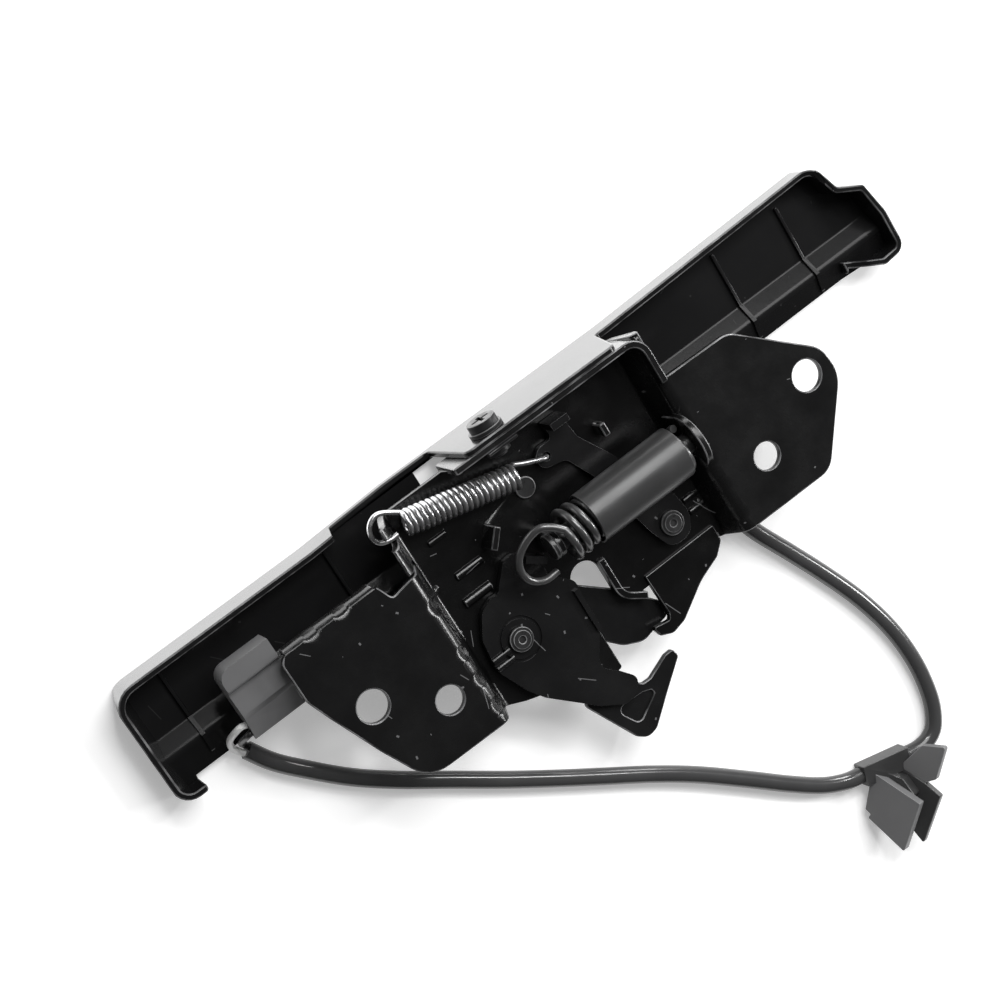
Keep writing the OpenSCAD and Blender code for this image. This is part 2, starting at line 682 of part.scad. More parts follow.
// Lift spring: coils along X, a hook round the safety lever's tab and a leg down to the pan
// The coils in front of the sleeve are wider than those inside it
function coil_r(x) = lift_r + (lift_in_r - lift_r) * max(0, min(1, (x - sleeve_x0 + 4) / 3));
lift_turns = (lift_x1 - lift_x0) / lift_pitch;
lift_coil = [for (a = [0:30:360 * lift_turns])
    let (x = lift_x0 + lift_pitch * a / 360, r = coil_r(x))
    [x, lift_y + r * cos(60 + a), lift_z + r * sin(60 + a)]];
lift_hook = [[-14.4, -2.6, -1.2], [-19.4, -2.4, -0.6], [-23.6, 0.4, 0.4], [-25.4, 5, 1.6], [-24, 9.8, 3],
    [-20, 13.4, 5], [-15, 15, 7], [-11.2, 13.2, 8.4]];
lift_last = lift_coil[len(lift_coil) - 1];
lift_path = concat(smooth(concat(lift_hook, [lift_coil[0]]), 3),
    [for (i = [1:len(lift_coil) - 1]) lift_coil[i]]);

module lift_spring() {
    color("#242425") translate([latch_x, 0, 0]) wire(lift_path, lift_wire / 2, 8);
}

module spring_sleeve() {
    color("#2b2b2d") translate([latch_x, 0, 0]) difference() {
        bar_x(lift_y, lift_z, sleeve_od, sleeve_x0, sleeve_x1);
        bar_x(lift_y, lift_z, sleeve_od - 2 * sleeve_wall, sleeve_x0 - 1, sleeve_x1 + 1);
    }
}

module spring_pin() {
    color("#2a2a2b") translate([latch_x, 0, 0]) {
        bar_x(lift_y, lift_z, lift_pin_d, ear_x0 - 0.8, ear_x1 + sheet_t);
        bar_x(lift_y, lift_z, lift_pin_d + 2, ear_x0 - 1.6, ear_x0);
    }
}

// Lever spring: close coils with a hook at each end
lever_dir = unit(lever_b - lever_a);
lever_side = unit(cross([0, 0, 1], lever_dir));
lever_r = (lever_od - lever_wire) / 2;
lever_coil = [for (i = [0:10 * lever_coils])
    lever_a + (lever_b - lever_a) * i / (10 * lever_coils)
        + lever_r * (cos(36 * i) * lever_side + sin(36 * i) * [0, 0, 1])];
lever_hook = [[-50.4, 37.2], [-53.4, 37.2], [-56.8, 38.6], [-57.8, 42], [-55.8, 45.2], [-52, 46]];
lever_lead = [for (p = lever_hook) [p.x, p.y, lever_z_axis]];
lever_reach = [[-4.6, 31.6, lever_z_axis + 0.8], [-0.6, 29.9, lever_z_axis + 0.8],
    [2.6, 28.5, lever_z_axis], [ear_at.x, ear_at.y, lever_z_axis - 2.4],
    [ear_at.x, ear_at.y, lever_z + 0.3]];
lever_path = concat(smooth(concat(lever_lead, [lever_coil[0]]), 3),
    [for (i = [1:len(lever_coil) - 2]) lever_coil[i]],
    smooth(concat([lever_coil[len(lever_coil) - 1]], lever_reach), 3));

module lever_spring() {
    color("#c9cacb") translate([latch_x, 0, 0]) wire(lever_path, lever_wire / 2, 8);
}

// Grey switch body with a rounded back and a tongue under the left wing
switch_low = switch_top - switch_h;
switch_section = [[11.6, switch_low + 0.6, 0.4], [16, switch_low, 2], [39, switch_low], [39, switch_top],
    [29.8, switch_top, 1], [28.8, switch_top - 2.6, 0.6], [20, switch_top - 2.2, 4],
    [10.4, switch_top - 7.2, 0.8]];
switch_plan = [[switch_x0, 8], [switch_x0, 36.6, 4], [wing_left + 1.2, 36.6], [wing_left + 1.2, 8]];

module switch_housing() {
    color("#696a6b") translate([latch_x, 0, 0]) difference() {
        union() {
            intersection() {
                along_x(rounded(switch_section), switch_x0 - 1, wing_left + 2);
                plate(switch_plan, switch_low - 1, switch_h + 2);
            }
            // Tongue that seats against the wing's back
            translate([wing_left + 0.4, 14, switch_low + 3])
                cube([8, 10, -3 - switch_low]);
        }
        translate([switch_x0 + 3, 16, switch_low - 1])
            cube([switch_len - 7, 5, 2.6]);
    }
}

// Two leads from the switch into the first sleeve
lead_end = [route_a[0].x, route_a[0].y, route_z];
lead_start = [switch_x0, 16.5, switch_low + 2];
lead_white = [lead_start, lead_start + [-2.2, 0.2, -0.8], lead_end + [-3.1, 8.2, 7],
    lead_end + [-3.7, 4.8, 3], lead_end + [-2.6, 2, 0.7], lead_end + [-1.1, -0.6, 0]];
lead_black = [lead_start + [0, -2.9, -0.2], lead_start + [-1.6, -3.3, -0.8], lead_end + [-0.7, 5.6, 7.2],
    lead_end + [-0.5, 3.6, 3.2], lead_end + [-0.1, 2.6, 0.8], lead_end + [1.1, 0.6, 0]];

module white_lead() {
    color("#d8d8d6") translate([latch_x, 0, 0]) wire(smooth(lead_white, 3), lead_d / 2, 8);
}

module black_lead() {
    color("#17171a") translate([latch_x, 0, 0]) wire(smooth(lead_black, 3), lead_d / 2, 8);
}

// Cable sleeve from the switch to the connector
module conduit_a() {
    pts = [for (p = route_a) [p.x, p.y, route_z]];
    color("#1a1a1b") translate([latch_x, 0, 0]) wire(smooth(pts, 2), conduit_d / 2, 10);
}

// Cable sleeve from the connector to the clip behind the right wing
module conduit_b() {
    pts = concat([for (p = route_b) [p.x, p.y, route_z]], [for (p = rise_b) [p.x, p.y, route_z + p.z]]);
    color("#1a1a1b") translate([latch_x, 0, 0]) wire(smooth(pts, 2), conduit_d / 2, 10);
}

// Plug where the two sleeves meet, leaning on its left edge
plug_at = [39.8, -148.8, table_z + 2.8];
plug_t = 4;
plug_gap = 5;
plug_front = [[3.5, 14, 0.6], [20.3, 3.6, 0.6], [13.4, -13.7, 0.6], [1, -2.4, 0.6], [2, -1.2, 0.4],
    [0.2, 0.6, 0.6]];
plug_core = [[6, 13.4], [13, 11], [17, 5.4, 1], [12, 0, 1], [7, 2, 1]];
plug_back = [[9, -3, 0.6], [10, 14], [19, 8.6], [24.4, 4.1, 0.6], [17.1, -13.1, 0.6]];
plug_wing = [[10, 14], [18.9, 21.8, 0.8], [27.3, 21.5, 0.8], [23.2, 10, 0.8], [19, 8.6]];

// Move a piece from the plug's own plane to where the plug lies
module on_plug() {
    translate(plug_at)
        rotate([0, 0, -28])
            rotate([0, -53, 0])
                children();
}

// Boot between the ends of the two sleeves
module boot() {
    from = route_a[len(route_a) - 1];
    ends = route_b[0] - from;
    translate([from.x, from.y, table_z])
        rotate([0, 0, atan2(ends.y, ends.x)])
            translate([0, -conduit_d / 2 - 0.7, 0])
                cube([norm(ends), conduit_d + 1.4, conduit_d + 0.6]);
}

module connector_housing() {
    color("#4f5052") translate([latch_x, 0, 0]) {
        boot();
        on_plug() {
            plate(plug_core, -plug_t - plug_gap, plug_gap);
            plate(plug_back, -2 * plug_t - plug_gap + 1, plug_t - 1);
        }
    }
}

module connector_cover() {
    color("#5a5b5d") translate([latch_x, 0, 0]) difference() {
        on_plug() plate(plug_front, -plug_t, plug_t);
        boot();
    }
}

module connector_latch() {
    color("#6a6b6c") translate([latch_x, 0, 0]) difference() {
        on_plug() plate(plug_wing, -2 * plug_t - plug_gap + 1, plug_t - 1);
        boot();
    }
}

// Clip on the back of the right wing that holds the second sleeve
module harness_clip() {
    at = [53.5, -15 + 3.2];
    clip_z = route_z + rise_b[2].z;
    color("#202022") translate([latch_x, 0, 0]) {
        translate([at.x - 5, at.y - 3.2, clip_z - 5])
            cube([10, 6.4, 10]);
        post(at, 5, clip_z + 4, 0);
    }
}

base_bracket();
cable_shield();
cover_screw();
clip_nut();
claw();
claw_rivet();
pivot_washer();
safety_lever();
safety_hook();
pawl();
pawl_pin();
lever_washer();
release_lever();
pan_rivet();
lift_spring();
spring_sleeve();
spring_pin();
lever_spring();
switch_housing();
white_lead();
black_lead();
conduit_a();
conduit_b();
connector_housing();
connector_cover();
connector_latch();
harness_clip();
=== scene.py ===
"""Bonnet latch, dressed for the camera.

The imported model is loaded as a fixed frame. Its pressed steel and moulded plastic pieces get softly broken
edges, its springs, leads and cable sleeves are drawn again as smooth round wire, and every piece gets a
procedural finish.
"""

from __future__ import annotations

import json
import logging
import math
from dataclasses import dataclass, field, replace
from enum import Enum
from typing import Sequence

import bmesh
import bpy
from mathutils import Matrix, Vector
from mathutils.kdtree import KDTree

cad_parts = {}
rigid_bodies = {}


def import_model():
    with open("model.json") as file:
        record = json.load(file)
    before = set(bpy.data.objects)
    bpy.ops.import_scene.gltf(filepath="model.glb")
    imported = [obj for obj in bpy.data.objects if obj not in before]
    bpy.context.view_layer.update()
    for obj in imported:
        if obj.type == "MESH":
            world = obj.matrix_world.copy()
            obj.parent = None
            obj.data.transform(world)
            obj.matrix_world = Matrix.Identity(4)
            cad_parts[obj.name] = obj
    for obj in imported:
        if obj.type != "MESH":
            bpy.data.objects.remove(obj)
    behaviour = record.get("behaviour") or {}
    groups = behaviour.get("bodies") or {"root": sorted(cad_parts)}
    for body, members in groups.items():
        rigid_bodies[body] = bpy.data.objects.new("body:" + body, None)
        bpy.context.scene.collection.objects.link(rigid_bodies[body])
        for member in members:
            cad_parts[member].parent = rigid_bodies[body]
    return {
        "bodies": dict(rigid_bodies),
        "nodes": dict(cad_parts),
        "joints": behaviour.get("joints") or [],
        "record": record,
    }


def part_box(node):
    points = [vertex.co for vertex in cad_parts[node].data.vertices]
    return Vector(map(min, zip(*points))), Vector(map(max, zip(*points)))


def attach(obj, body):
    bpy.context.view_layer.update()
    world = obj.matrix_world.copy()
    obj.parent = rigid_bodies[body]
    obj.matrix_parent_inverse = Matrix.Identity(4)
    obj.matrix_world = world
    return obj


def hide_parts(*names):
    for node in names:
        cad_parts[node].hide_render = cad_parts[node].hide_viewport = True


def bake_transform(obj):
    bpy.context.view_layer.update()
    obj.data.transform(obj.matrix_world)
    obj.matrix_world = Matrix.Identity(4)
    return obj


LOG = logging.getLogger("bonnet_latch")
MM = 0.001
# The pan's own zero, from the middle of the outer bolt holes
LATCH_X = -1.5
# Plane that the shield's back and the cable sleeves lie on
TABLE_Z = -25.6
# Vertices closer than this, in metres, are one: of a node, and of a wire and its end caps
MERGE = 2e-6
CAP_MERGE = 1e-7
# Faces that turn less than this, in degrees, are one flat face
FLAT_TURN = 0.6
# Edges that turn more than this, in degrees, were cut or moulded sharp and show wear and a painted highlight
CUT_TURN = 62.0
# How far the wear and painted highlight reach from a cut edge, as a share of the broken edge's width
WEAR_AND_HIGHLIGHT_REACH = 1.2
# Slack of the test that a skin stays inside its node's box, in metres
BOX_SLACK = 1e-5
# Depth of the grain's bumps, in metres
BUMP_DEPTH = 0.0002
# Sockets of a colour mix: its two colours and its result
MIX_FIRST, MIX_SECOND, MIX_RESULT = 6, 7, 2
WHITE = (1.0, 1.0, 1.0, 1.0)

Colour = tuple[float, float, float]
Numbers = tuple[float, ...]


class Body(str, Enum):
    """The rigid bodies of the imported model."""

    FRAME = "frame"
    CLAW = "claw"
    SAFETY = "safety_catch"
    RELEASE = "release"


def place(x: float, y: float, z: float) -> Vector:
    """Turn a point in the pan's own millimetres into the model's metres."""
    return Vector(((x + LATCH_X) * MM, y * MM, z * MM))


def smooth_line(points: Sequence[Vector], steps: int) -> list[Vector]:
    """Draw a smooth curve through a few points.

    Args:
        points: The points that the curve passes through.
        steps: How many short lengths each stretch is divided into.

    Returns:
        The points along the curve, the last one included.
    """
    last = len(points) - 1
    line: list[Vector] = []
    for i in range(last):
        a, b = points[max(i - 1, 0)], points[i]
        c, d = points[i + 1], points[min(i + 2, last)]
        for j in range(steps):
            t = j / steps
            bend = (2 * a - 5 * b + 4 * c - d) * t**2 + (3 * b - a - 3 * c + d) * t**3
            line.append(0.5 * (2 * b + (c - a) * t + bend))
    line.append(points[last].copy())
    return line


class Effects:
    """Shader node groups that several finishes share, each built once."""

    FINE_DETAIL: float = 3.0
    PATCH_DETAIL: float = 4.0
    PATCH_ROUGHNESS: float = 0.62
    WEAR_AND_HIGHLIGHT_SCALE: float = 120.0
    WEAR_AND_HIGHLIGHT_DETAIL: float = 4.0
    WEAR_AND_HIGHLIGHT_LEVELS: Numbers = (0.4, 0.68)
    WEAR_AND_HIGHLIGHT_LEAST: float = 0.14

    def __init__(self) -> None:
        """Start with no groups built."""
        self.built: dict[str, bpy.types.NodeTree] = {}

    @staticmethod
    def _new(
        name: str, inputs: dict[str, tuple[str, object]], outputs: Sequence[str]
    ) -> bpy.types.NodeTree:
        """Make an empty group with named sockets.

        Args:
            name: The group's name.
            inputs: Socket name to its kind and default value.
            outputs: Names of the float outputs.

        Returns:
            The new node tree.
        """
        tree = bpy.data.node_groups.new(name, "ShaderNodeTree")
        for label, (kind, value) in inputs.items():
            socket = tree.interface.new_socket(label, in_out="INPUT", socket_type=kind)
            if value is not None:
                socket.default_value = value
        for label in outputs:
            tree.interface.new_socket(label, in_out="OUTPUT", socket_type="NodeSocketFloat")
        tree.nodes.new("NodeGroupInput").name = "in"
        tree.nodes.new("NodeGroupOutput").name = "out"
        return tree

    def grain(self) -> bpy.types.NodeTree:
        """Fine moulded or sprayed grain, with broad cloudy patches.

        Returns:
            A group that puts out the grain's height and a slow patchy value.
        """
        if "grain" in self.built:
            return self.built["grain"]
        tree = self._new(
            "surface_grain",
            {
                "Vector": ("NodeSocketVector", None),
                "Scale": ("NodeSocketFloat", 900.0),
                "Patch Scale": ("NodeSocketFloat", 40.0),
            },
            ("Height", "Patch"),
        )
        nodes, links = tree.nodes, tree.links
        fine = nodes.new("ShaderNodeTexNoise")
        fine.inputs["Detail"].default_value = self.FINE_DETAIL
        broad = nodes.new("ShaderNodeTexNoise")
        broad.inputs["Detail"].default_value = self.PATCH_DETAIL
        broad.inputs["Roughness"].default_value = self.PATCH_ROUGHNESS
        for noise, scale, label in ((fine, "Scale", "Height"), (broad, "Patch Scale", "Patch")):
            links.new(nodes["in"].outputs["Vector"], noise.inputs["Vector"])
            links.new(nodes["in"].outputs[scale], noise.inputs["Scale"])
            links.new(noise.outputs["Fac"], nodes["out"].inputs[label])
        self.built["grain"] = tree
        return tree

    def scratches(self) -> bpy.types.NodeTree:
        """Sparse short scratches and small chips, at most one of each in every cell of a random pattern.

        Returns:
            A group that puts out a mask of the marks.
        """
        if "scratches" in self.built:
            return self.built["scratches"]
        tree = self._new(
            "scratches",
            {"Vector": ("NodeSocketVector", None), "Amount": ("NodeSocketFloat", 0.5)},
            ("Mask",),
        )
        nodes, links = tree.nodes, tree.links
        long_marks = self._cell_marks(tree, cells=55.0, half_length=0.22, half_width=0.0075, share=0.3)
        chips = self._cell_marks(tree, cells=95.0, half_length=0.055, half_width=0.03, share=0.28)
        total = self._sum(tree, "MAXIMUM", long_marks, chips)
        scaled = self._sum(tree, "MULTIPLY", total, nodes["in"].outputs["Amount"])
        links.new(scaled, nodes["out"].inputs["Mask"])
        self.built["scratches"] = tree
        return tree

    @staticmethod
    def _sum(
        tree: bpy.types.NodeTree,
        operation: str,
        first: bpy.types.NodeSocket,
        second: bpy.types.NodeSocket | float,
    ) -> bpy.types.NodeSocket:
        """Join two values by one sum.

        Args:
            tree: The group being built.
            operation: The sum's name.
            first: The first value.
            second: The second value, a socket or a number.

        Returns:
            The socket of the result.
        """
        node = tree.nodes.new("ShaderNodeMath")
        node.operation = operation
        tree.links.new(first, node.inputs[0])
        if isinstance(second, float):
            node.inputs[1].default_value = second
        else:
            tree.links.new(second, node.inputs[1])
        return node.outputs[0]

    def _cell_marks(
        self, tree: bpy.types.NodeTree, cells: float, half_length: float, half_width: float, share: float
    ) -> bpy.types.NodeSocket:
        """Put one short straight mark at a random place and angle in some cells of the surface.

        Args:
            tree: The group being built.
            cells: Cells per metre.
            half_length: Half the longest mark, as a share of a cell.
            half_width: Half a mark's width, as a share of a cell.
            share: How many of the cells have a mark.

        Returns:
            The socket of the mask.
        """
        nodes, links = tree.nodes, tree.links
        spread = nodes.new("ShaderNodeVectorMath")
        spread.operation = "SCALE"
        spread.inputs["Scale"].default_value = cells
        links.new(nodes["in"].outputs["Vector"], spread.inputs[0])
        cell = nodes.new("ShaderNodeTexVoronoi")
        cell.voronoi_dimensions = "2D"
        cell.inputs["Scale"].default_value = 1.0
        links.new(spread.outputs[0], cell.inputs["Vector"])
        local = nodes.new("ShaderNodeVectorMath")
        local.operation = "SUBTRACT"
        links.new(spread.outputs[0], local.inputs[0])
        links.new(cell.outputs["Position"], local.inputs[1])
        chance = nodes.new("ShaderNodeSeparateColor")
        links.new(cell.outputs["Color"], chance.inputs[0])
        turned = nodes.new("ShaderNodeVectorRotate")
        turned.rotation_type = "Z_AXIS"
        links.new(local.outputs[0], turned.inputs["Vector"])
        links.new(self._sum(tree, "MULTIPLY", chance.outputs[0], 2 * math.pi), turned.inputs["Angle"])
        axes = nodes.new("ShaderNodeSeparateXYZ")
        links.new(turned.outputs[0], axes.inputs[0])
        along = self._sum(tree, "ABSOLUTE", axes.outputs[0], 0.0)
        across = self._sum(tree, "ABSOLUTE", axes.outputs[1], 0.0)
        reach = self._sum(tree, "MULTIPLY", chance.outputs[1], half_length)
        in_length = self._sum(tree, "LESS_THAN", along, reach)
        in_width = self._sum(tree, "LESS_THAN", across, half_width)
        chosen = self._sum(tree, "LESS_THAN", chance.outputs[2], share)
        return self._sum(tree, "MULTIPLY", self._sum(tree, "MULTIPLY", in_length, in_width), chosen)

    def edge_wear_and_highlight(self) -> bpy.types.NodeTree:
        """Break up an edge mask so that the edge's wear and its painted highlight come and go along the
        edge.

        Returns:
            A group that puts out the broken mask.
        """
        if "edge" in self.built:
            return self.built["edge"]
        tree = self._new(
            "edge_wear_and_highlight",
            {
                "Vector": ("NodeSocketVector", None),
                "Edge": ("NodeSocketFloat", 0.0),
                "Amount": ("NodeSocketFloat", 0.5),
            },
            ("Mask",),
        )
        nodes, links = tree.nodes, tree.links
        noise = nodes.new("ShaderNodeTexNoise")
        noise.inputs["Scale"].default_value = self.WEAR_AND_HIGHLIGHT_SCALE
        noise.inputs["Detail"].default_value = self.WEAR_AND_HIGHLIGHT_DETAIL
        links.new(nodes["in"].outputs["Vector"], noise.inputs["Vector"])
        ramp = nodes.new("ShaderNodeMapRange")
        ramp.inputs["From Min"].default_value = self.WEAR_AND_HIGHLIGHT_LEVELS[0]
        ramp.inputs["From Max"].default_value = self.WEAR_AND_HIGHLIGHT_LEVELS[1]
        ramp.inputs["To Min"].default_value = self.WEAR_AND_HIGHLIGHT_LEAST
        links.new(noise.outputs["Fac"], ramp.inputs["Value"])
        broken = self._sum(tree, "MULTIPLY", nodes["in"].outputs["Edge"], ramp.outputs[0])
        scaled = self._sum(tree, "MULTIPLY", broken, nodes["in"].outputs["Amount"])
        links.new(scaled, nodes["out"].inputs["Mask"])
        self.built["edge"] = tree
        return tree


@dataclass(frozen=True)
class Finish:
    """One surface finish and the detail that it shows.

    The colours are linear. Grain and patch scales are in waves per metre. Below the painted shade levels, in
    millimetres, the colour is only the painted shade's share of itself: a painted shade for deep hollows.
    """

    name: str
    color: Colour
    patch_color: Colour
    roughness: float
    rough_swing: float = 0.1
    metallic: float = 0.0
    ior: float = 1.5
    coat: float = 0.0
    coat_roughness: float = 0.15
    grain_scale: float = 900.0
    patch_scale: float = 40.0
    bump: float = 0.12
    edge_wear_and_highlight_color: Colour = (0.2, 0.2, 0.2)
    edge_wear_and_highlight_amount: float = 0.0
    mark_color: Colour = (0.2, 0.2, 0.2)
    mark_amount: float = 0.0
    painted_shade: float = 1.0
    painted_shade_levels: Numbers = (-9.0, -2.0)
    patch_levels: Numbers = (0.3, 0.7)
    least_roughness: float = 0.03

    def material(self, effects: Effects) -> bpy.types.Material:
        """Build the finish as a material.

        Args:
            effects: The shared node groups.

        Returns:
            The new material.
        """
        mat = bpy.data.materials.new(self.name)
        mat.use_nodes = True
        nodes, links = mat.node_tree.nodes, mat.node_tree.links
        shader = nodes["Principled BSDF"]
        shader.inputs["Metallic"].default_value = self.metallic
        shader.inputs["IOR"].default_value = self.ior
        shader.inputs["Coat Weight"].default_value = self.coat
        shader.inputs["Coat Roughness"].default_value = self.coat_roughness
        where = nodes.new("ShaderNodeTexCoord").outputs["Object"]

        grain = nodes.new("ShaderNodeGroup")
        grain.node_tree = effects.grain()
        grain.inputs["Scale"].default_value = self.grain_scale
        grain.inputs["Patch Scale"].default_value = self.patch_scale
        links.new(where, grain.inputs["Vector"])

        colour = self._mix(mat, grain.outputs["Patch"], self.color, self.patch_color)
        # Painted shade: the colour is darkened below a level, on deep floors
        if self.painted_shade < 1:
            colour = self._paint_shade_below(mat, where, colour)
        # Broken edges are painted lighter: partly real wear, partly a painted highlight along the rims and
        # bends
        if self.edge_wear_and_highlight_amount > 0:
            edge = nodes.new("ShaderNodeAttribute")
            edge.attribute_name = "edge"
            wear_and_highlight = nodes.new("ShaderNodeGroup")
            wear_and_highlight.node_tree = effects.edge_wear_and_highlight()
            wear_and_highlight.inputs["Amount"].default_value = self.edge_wear_and_highlight_amount
            links.new(where, wear_and_highlight.inputs["Vector"])
            links.new(edge.outputs["Fac"], wear_and_highlight.inputs["Edge"])
            colour = self._mix(mat, wear_and_highlight.outputs["Mask"], colour, self.edge_wear_and_highlight_color)
        if self.mark_amount > 0:
            marks = nodes.new("ShaderNodeGroup")
            marks.node_tree = effects.scratches()
            marks.inputs["Amount"].default_value = self.mark_amount
            links.new(where, marks.inputs["Vector"])
            colour = self._mix(mat, marks.outputs["Mask"], colour, self.mark_color)
        links.new(colour, shader.inputs["Base Color"])

        swing = nodes.new("ShaderNodeMapRange")
        swing.inputs["From Min"].default_value = self.patch_levels[0]
        swing.inputs["From Max"].default_value = self.patch_levels[1]
        swing.inputs["To Min"].default_value = max(self.roughness - self.rough_swing, self.least_roughness)
        swing.inputs["To Max"].default_value = self.roughness + self.rough_swing
        links.new(grain.outputs["Patch"], swing.inputs["Value"])
        links.new(swing.outputs[0], shader.inputs["Roughness"])

        bump = nodes.new("ShaderNodeBump")
        bump.inputs["Strength"].default_value = self.bump
        bump.inputs["Distance"].default_value = BUMP_DEPTH
        links.new(grain.outputs["Height"], bump.inputs["Height"])
        links.new(bump.outputs["Normal"], shader.inputs["Normal"])
        return mat

    def _paint_shade_below(
        self, mat: bpy.types.Material, where: bpy.types.NodeSocket, colour: bpy.types.NodeSocket
    ) -> bpy.types.NodeSocket:
        """Darken the colour below a level: a painted shade for the deep floor of the pan.

        Args:
            mat: The material being built.
            where: The surface's own coordinates.
            colour: The colour to darken.

        Returns:
            The socket of the darkened colour.
        """
        nodes, links = mat.node_tree.nodes, mat.node_tree.links
        axes = nodes.new("ShaderNodeSeparateXYZ")
        links.new(where, axes.inputs[0])
        level = nodes.new("ShaderNodeMapRange")
        low, high = self.painted_shade_levels
        level.inputs["From Min"].default_value = low * MM
        level.inputs["From Max"].default_value = high * MM
        level.inputs["To Min"].default_value = self.painted_shade
        links.new(axes.outputs["Z"], level.inputs["Value"])
        scaled = nodes.new("ShaderNodeVectorMath")
        scaled.operation = "SCALE"
        links.new(colour, scaled.inputs[0])
        links.new(level.outputs[0], scaled.inputs["Scale"])
        return scaled.outputs[0]

    @staticmethod
    def _mix(
        mat: bpy.types.Material,
        factor: bpy.types.NodeSocket,
        first: bpy.types.NodeSocket | Colour,
        second: Colour,
    ) -> bpy.types.NodeSocket:
        """Mix two colours by a mask that varies over the surface.

        Args:
            mat: The material being built.
            factor: The mask.
            first: The colour, or the socket of one, where the mask is 0.
            second: The colour where the mask is 1.

        Returns:
            The socket of the mixed colour.
        """
        mix = mat.node_tree.nodes.new("ShaderNodeMix")
        mix.data_type = "RGBA"
        mat.node_tree.links.new(factor, mix.inputs[0])
        if isinstance(first, tuple):
            mix.inputs[MIX_FIRST].default_value = (*first, 1.0)
        else:
            mat.node_tree.links.new(first, mix.inputs[MIX_FIRST])
        mix.inputs[MIX_SECOND].default_value = (*second, 1.0)
        return mix.outputs[MIX_RESULT]


# The edge colours of these finishes paint the broken edges lighter: partly real wear, partly a painted
# highlight
COATED_STEEL = Finish(
    "coated_steel",
    color=(0.0055, 0.0055, 0.0057),
    patch_color=(0.009, 0.009, 0.0093),
    roughness=0.25,
    rough_swing=0.07,
    grain_scale=1500.0,
    patch_scale=55.0,
    bump=0.16,
    edge_wear_and_highlight_color=(0.24, 0.24, 0.245),
    edge_wear_and_highlight_amount=0.9,
    mark_color=(0.2, 0.2, 0.205),
    mark_amount=0.6,
)
# The pan's steel carries a painted shade that halves its colour on the pan's deep floor
PAN_STEEL_PAINTED_SHADE = replace(
    COATED_STEEL,
    name="pan_steel_painted_shade",
    color=(0.0045, 0.0045, 0.0046),
    patch_color=(0.0082, 0.0082, 0.0084),
    painted_shade=0.5,
)
SHIELD_PLASTIC = Finish(
    "shield_plastic",
    color=(0.006, 0.006, 0.0062),
    patch_color=(0.0095, 0.0095, 0.0098),
    roughness=0.22,
    rough_swing=0.03,
    grain_scale=2200.0,
    patch_scale=22.0,
    bump=0.06,
    edge_wear_and_highlight_color=(0.19, 0.19, 0.192),
    edge_wear_and_highlight_amount=0.85,
    mark_color=(0.06, 0.06, 0.06),
    mark_amount=0.25,
    ior=1.3,
)
RIVET_STEEL = Finish(
    "rivet_steel",
    color=(0.012, 0.012, 0.0123),
    patch_color=(0.028, 0.028, 0.0285),
    roughness=0.32,
    grain_scale=1800.0,
    patch_scale=220.0,
    bump=0.2,
    edge_wear_and_highlight_color=(0.36, 0.36, 0.365),
    edge_wear_and_highlight_amount=0.9,
)
SCREW_STEEL = Finish(
    "screw_steel",
    color=(0.01, 0.01, 0.0103),
    patch_color=(0.022, 0.022, 0.0227),
    roughness=0.4,
    ior=1.3,
    grain_scale=2600.0,
    patch_scale=300.0,
    bump=0.3,
    edge_wear_and_highlight_color=(0.3, 0.3, 0.3),
    edge_wear_and_highlight_amount=0.7,
)
DARK_WIRE = Finish(
    "dark_wire",
    color=(0.028, 0.028, 0.0285),
    patch_color=(0.045, 0.045, 0.0455),
    roughness=0.34,
    rough_swing=0.08,
    ior=1.7,
    coat=0.8,
    coat_roughness=0.22,
    grain_scale=2200.0,
    patch_scale=130.0,
    bump=0.1,
)
SLEEVE_PLASTIC = Finish(
    "sleeve_plastic",
    color=(0.028, 0.028, 0.0283),
    patch_color=(0.038, 0.038, 0.0384),
    roughness=0.36,
    rough_swing=0.05,
    coat=0.15,
    grain_scale=2600.0,
    patch_scale=60.0,
    bump=0.08,
    edge_wear_and_highlight_color=(0.12, 0.12, 0.122),
    edge_wear_and_highlight_amount=0.6,
)
ZINC_WIRE = Finish(
    "zinc_wire",
    color=(0.36, 0.36, 0.364),
    patch_color=(0.5, 0.5, 0.505),
    roughness=0.3,
    rough_swing=0.08,
    metallic=0.9,
    grain_scale=3000.0,
    patch_scale=160.0,
    bump=0.08,
)
SWITCH_PLASTIC = Finish(
    "switch_plastic",
    color=(0.11, 0.11, 0.112),
    patch_color=(0.13, 0.13, 0.132),
    roughness=0.36,
    rough_swing=0.05,
    grain_scale=2400.0,
    patch_scale=50.0,
    bump=0.1,
    edge_wear_and_highlight_color=(0.24, 0.24, 0.24),
    edge_wear_and_highlight_amount=0.4,
)
CONNECTOR_PLASTIC = Finish(
    "connector_plastic",
    color=(0.125, 0.125, 0.127),
    patch_color=(0.15, 0.15, 0.152),
    roughness=0.42,
    rough_swing=0.06,
    grain_scale=2400.0,
    patch_scale=70.0,
    bump=0.12,
    edge_wear_and_highlight_color=(0.26, 0.26, 0.262),
    edge_wear_and_highlight_amount=0.8,
)
CLIP_PLASTIC = Finish(
    "clip_plastic",
    color=(0.012, 0.012, 0.012),
    patch_color=(0.018, 0.018, 0.018),
    roughness=0.45,
    grain_scale=2400.0,
    bump=0.12,
    edge_wear_and_highlight_color=(0.07, 0.07, 0.07),
    edge_wear_and_highlight_amount=0.5,
)
CONDUIT_SKIN = Finish(
    "conduit_skin",
    color=(0.042, 0.042, 0.0426),
    patch_color=(0.058, 0.058, 0.0587),
    roughness=0.21,
    rough_swing=0.04,
    coat=0.2,
    coat_roughness=0.1,
    grain_scale=1600.0,
    patch_scale=45.0,
    bump=0.08,
    ior=1.45,
)
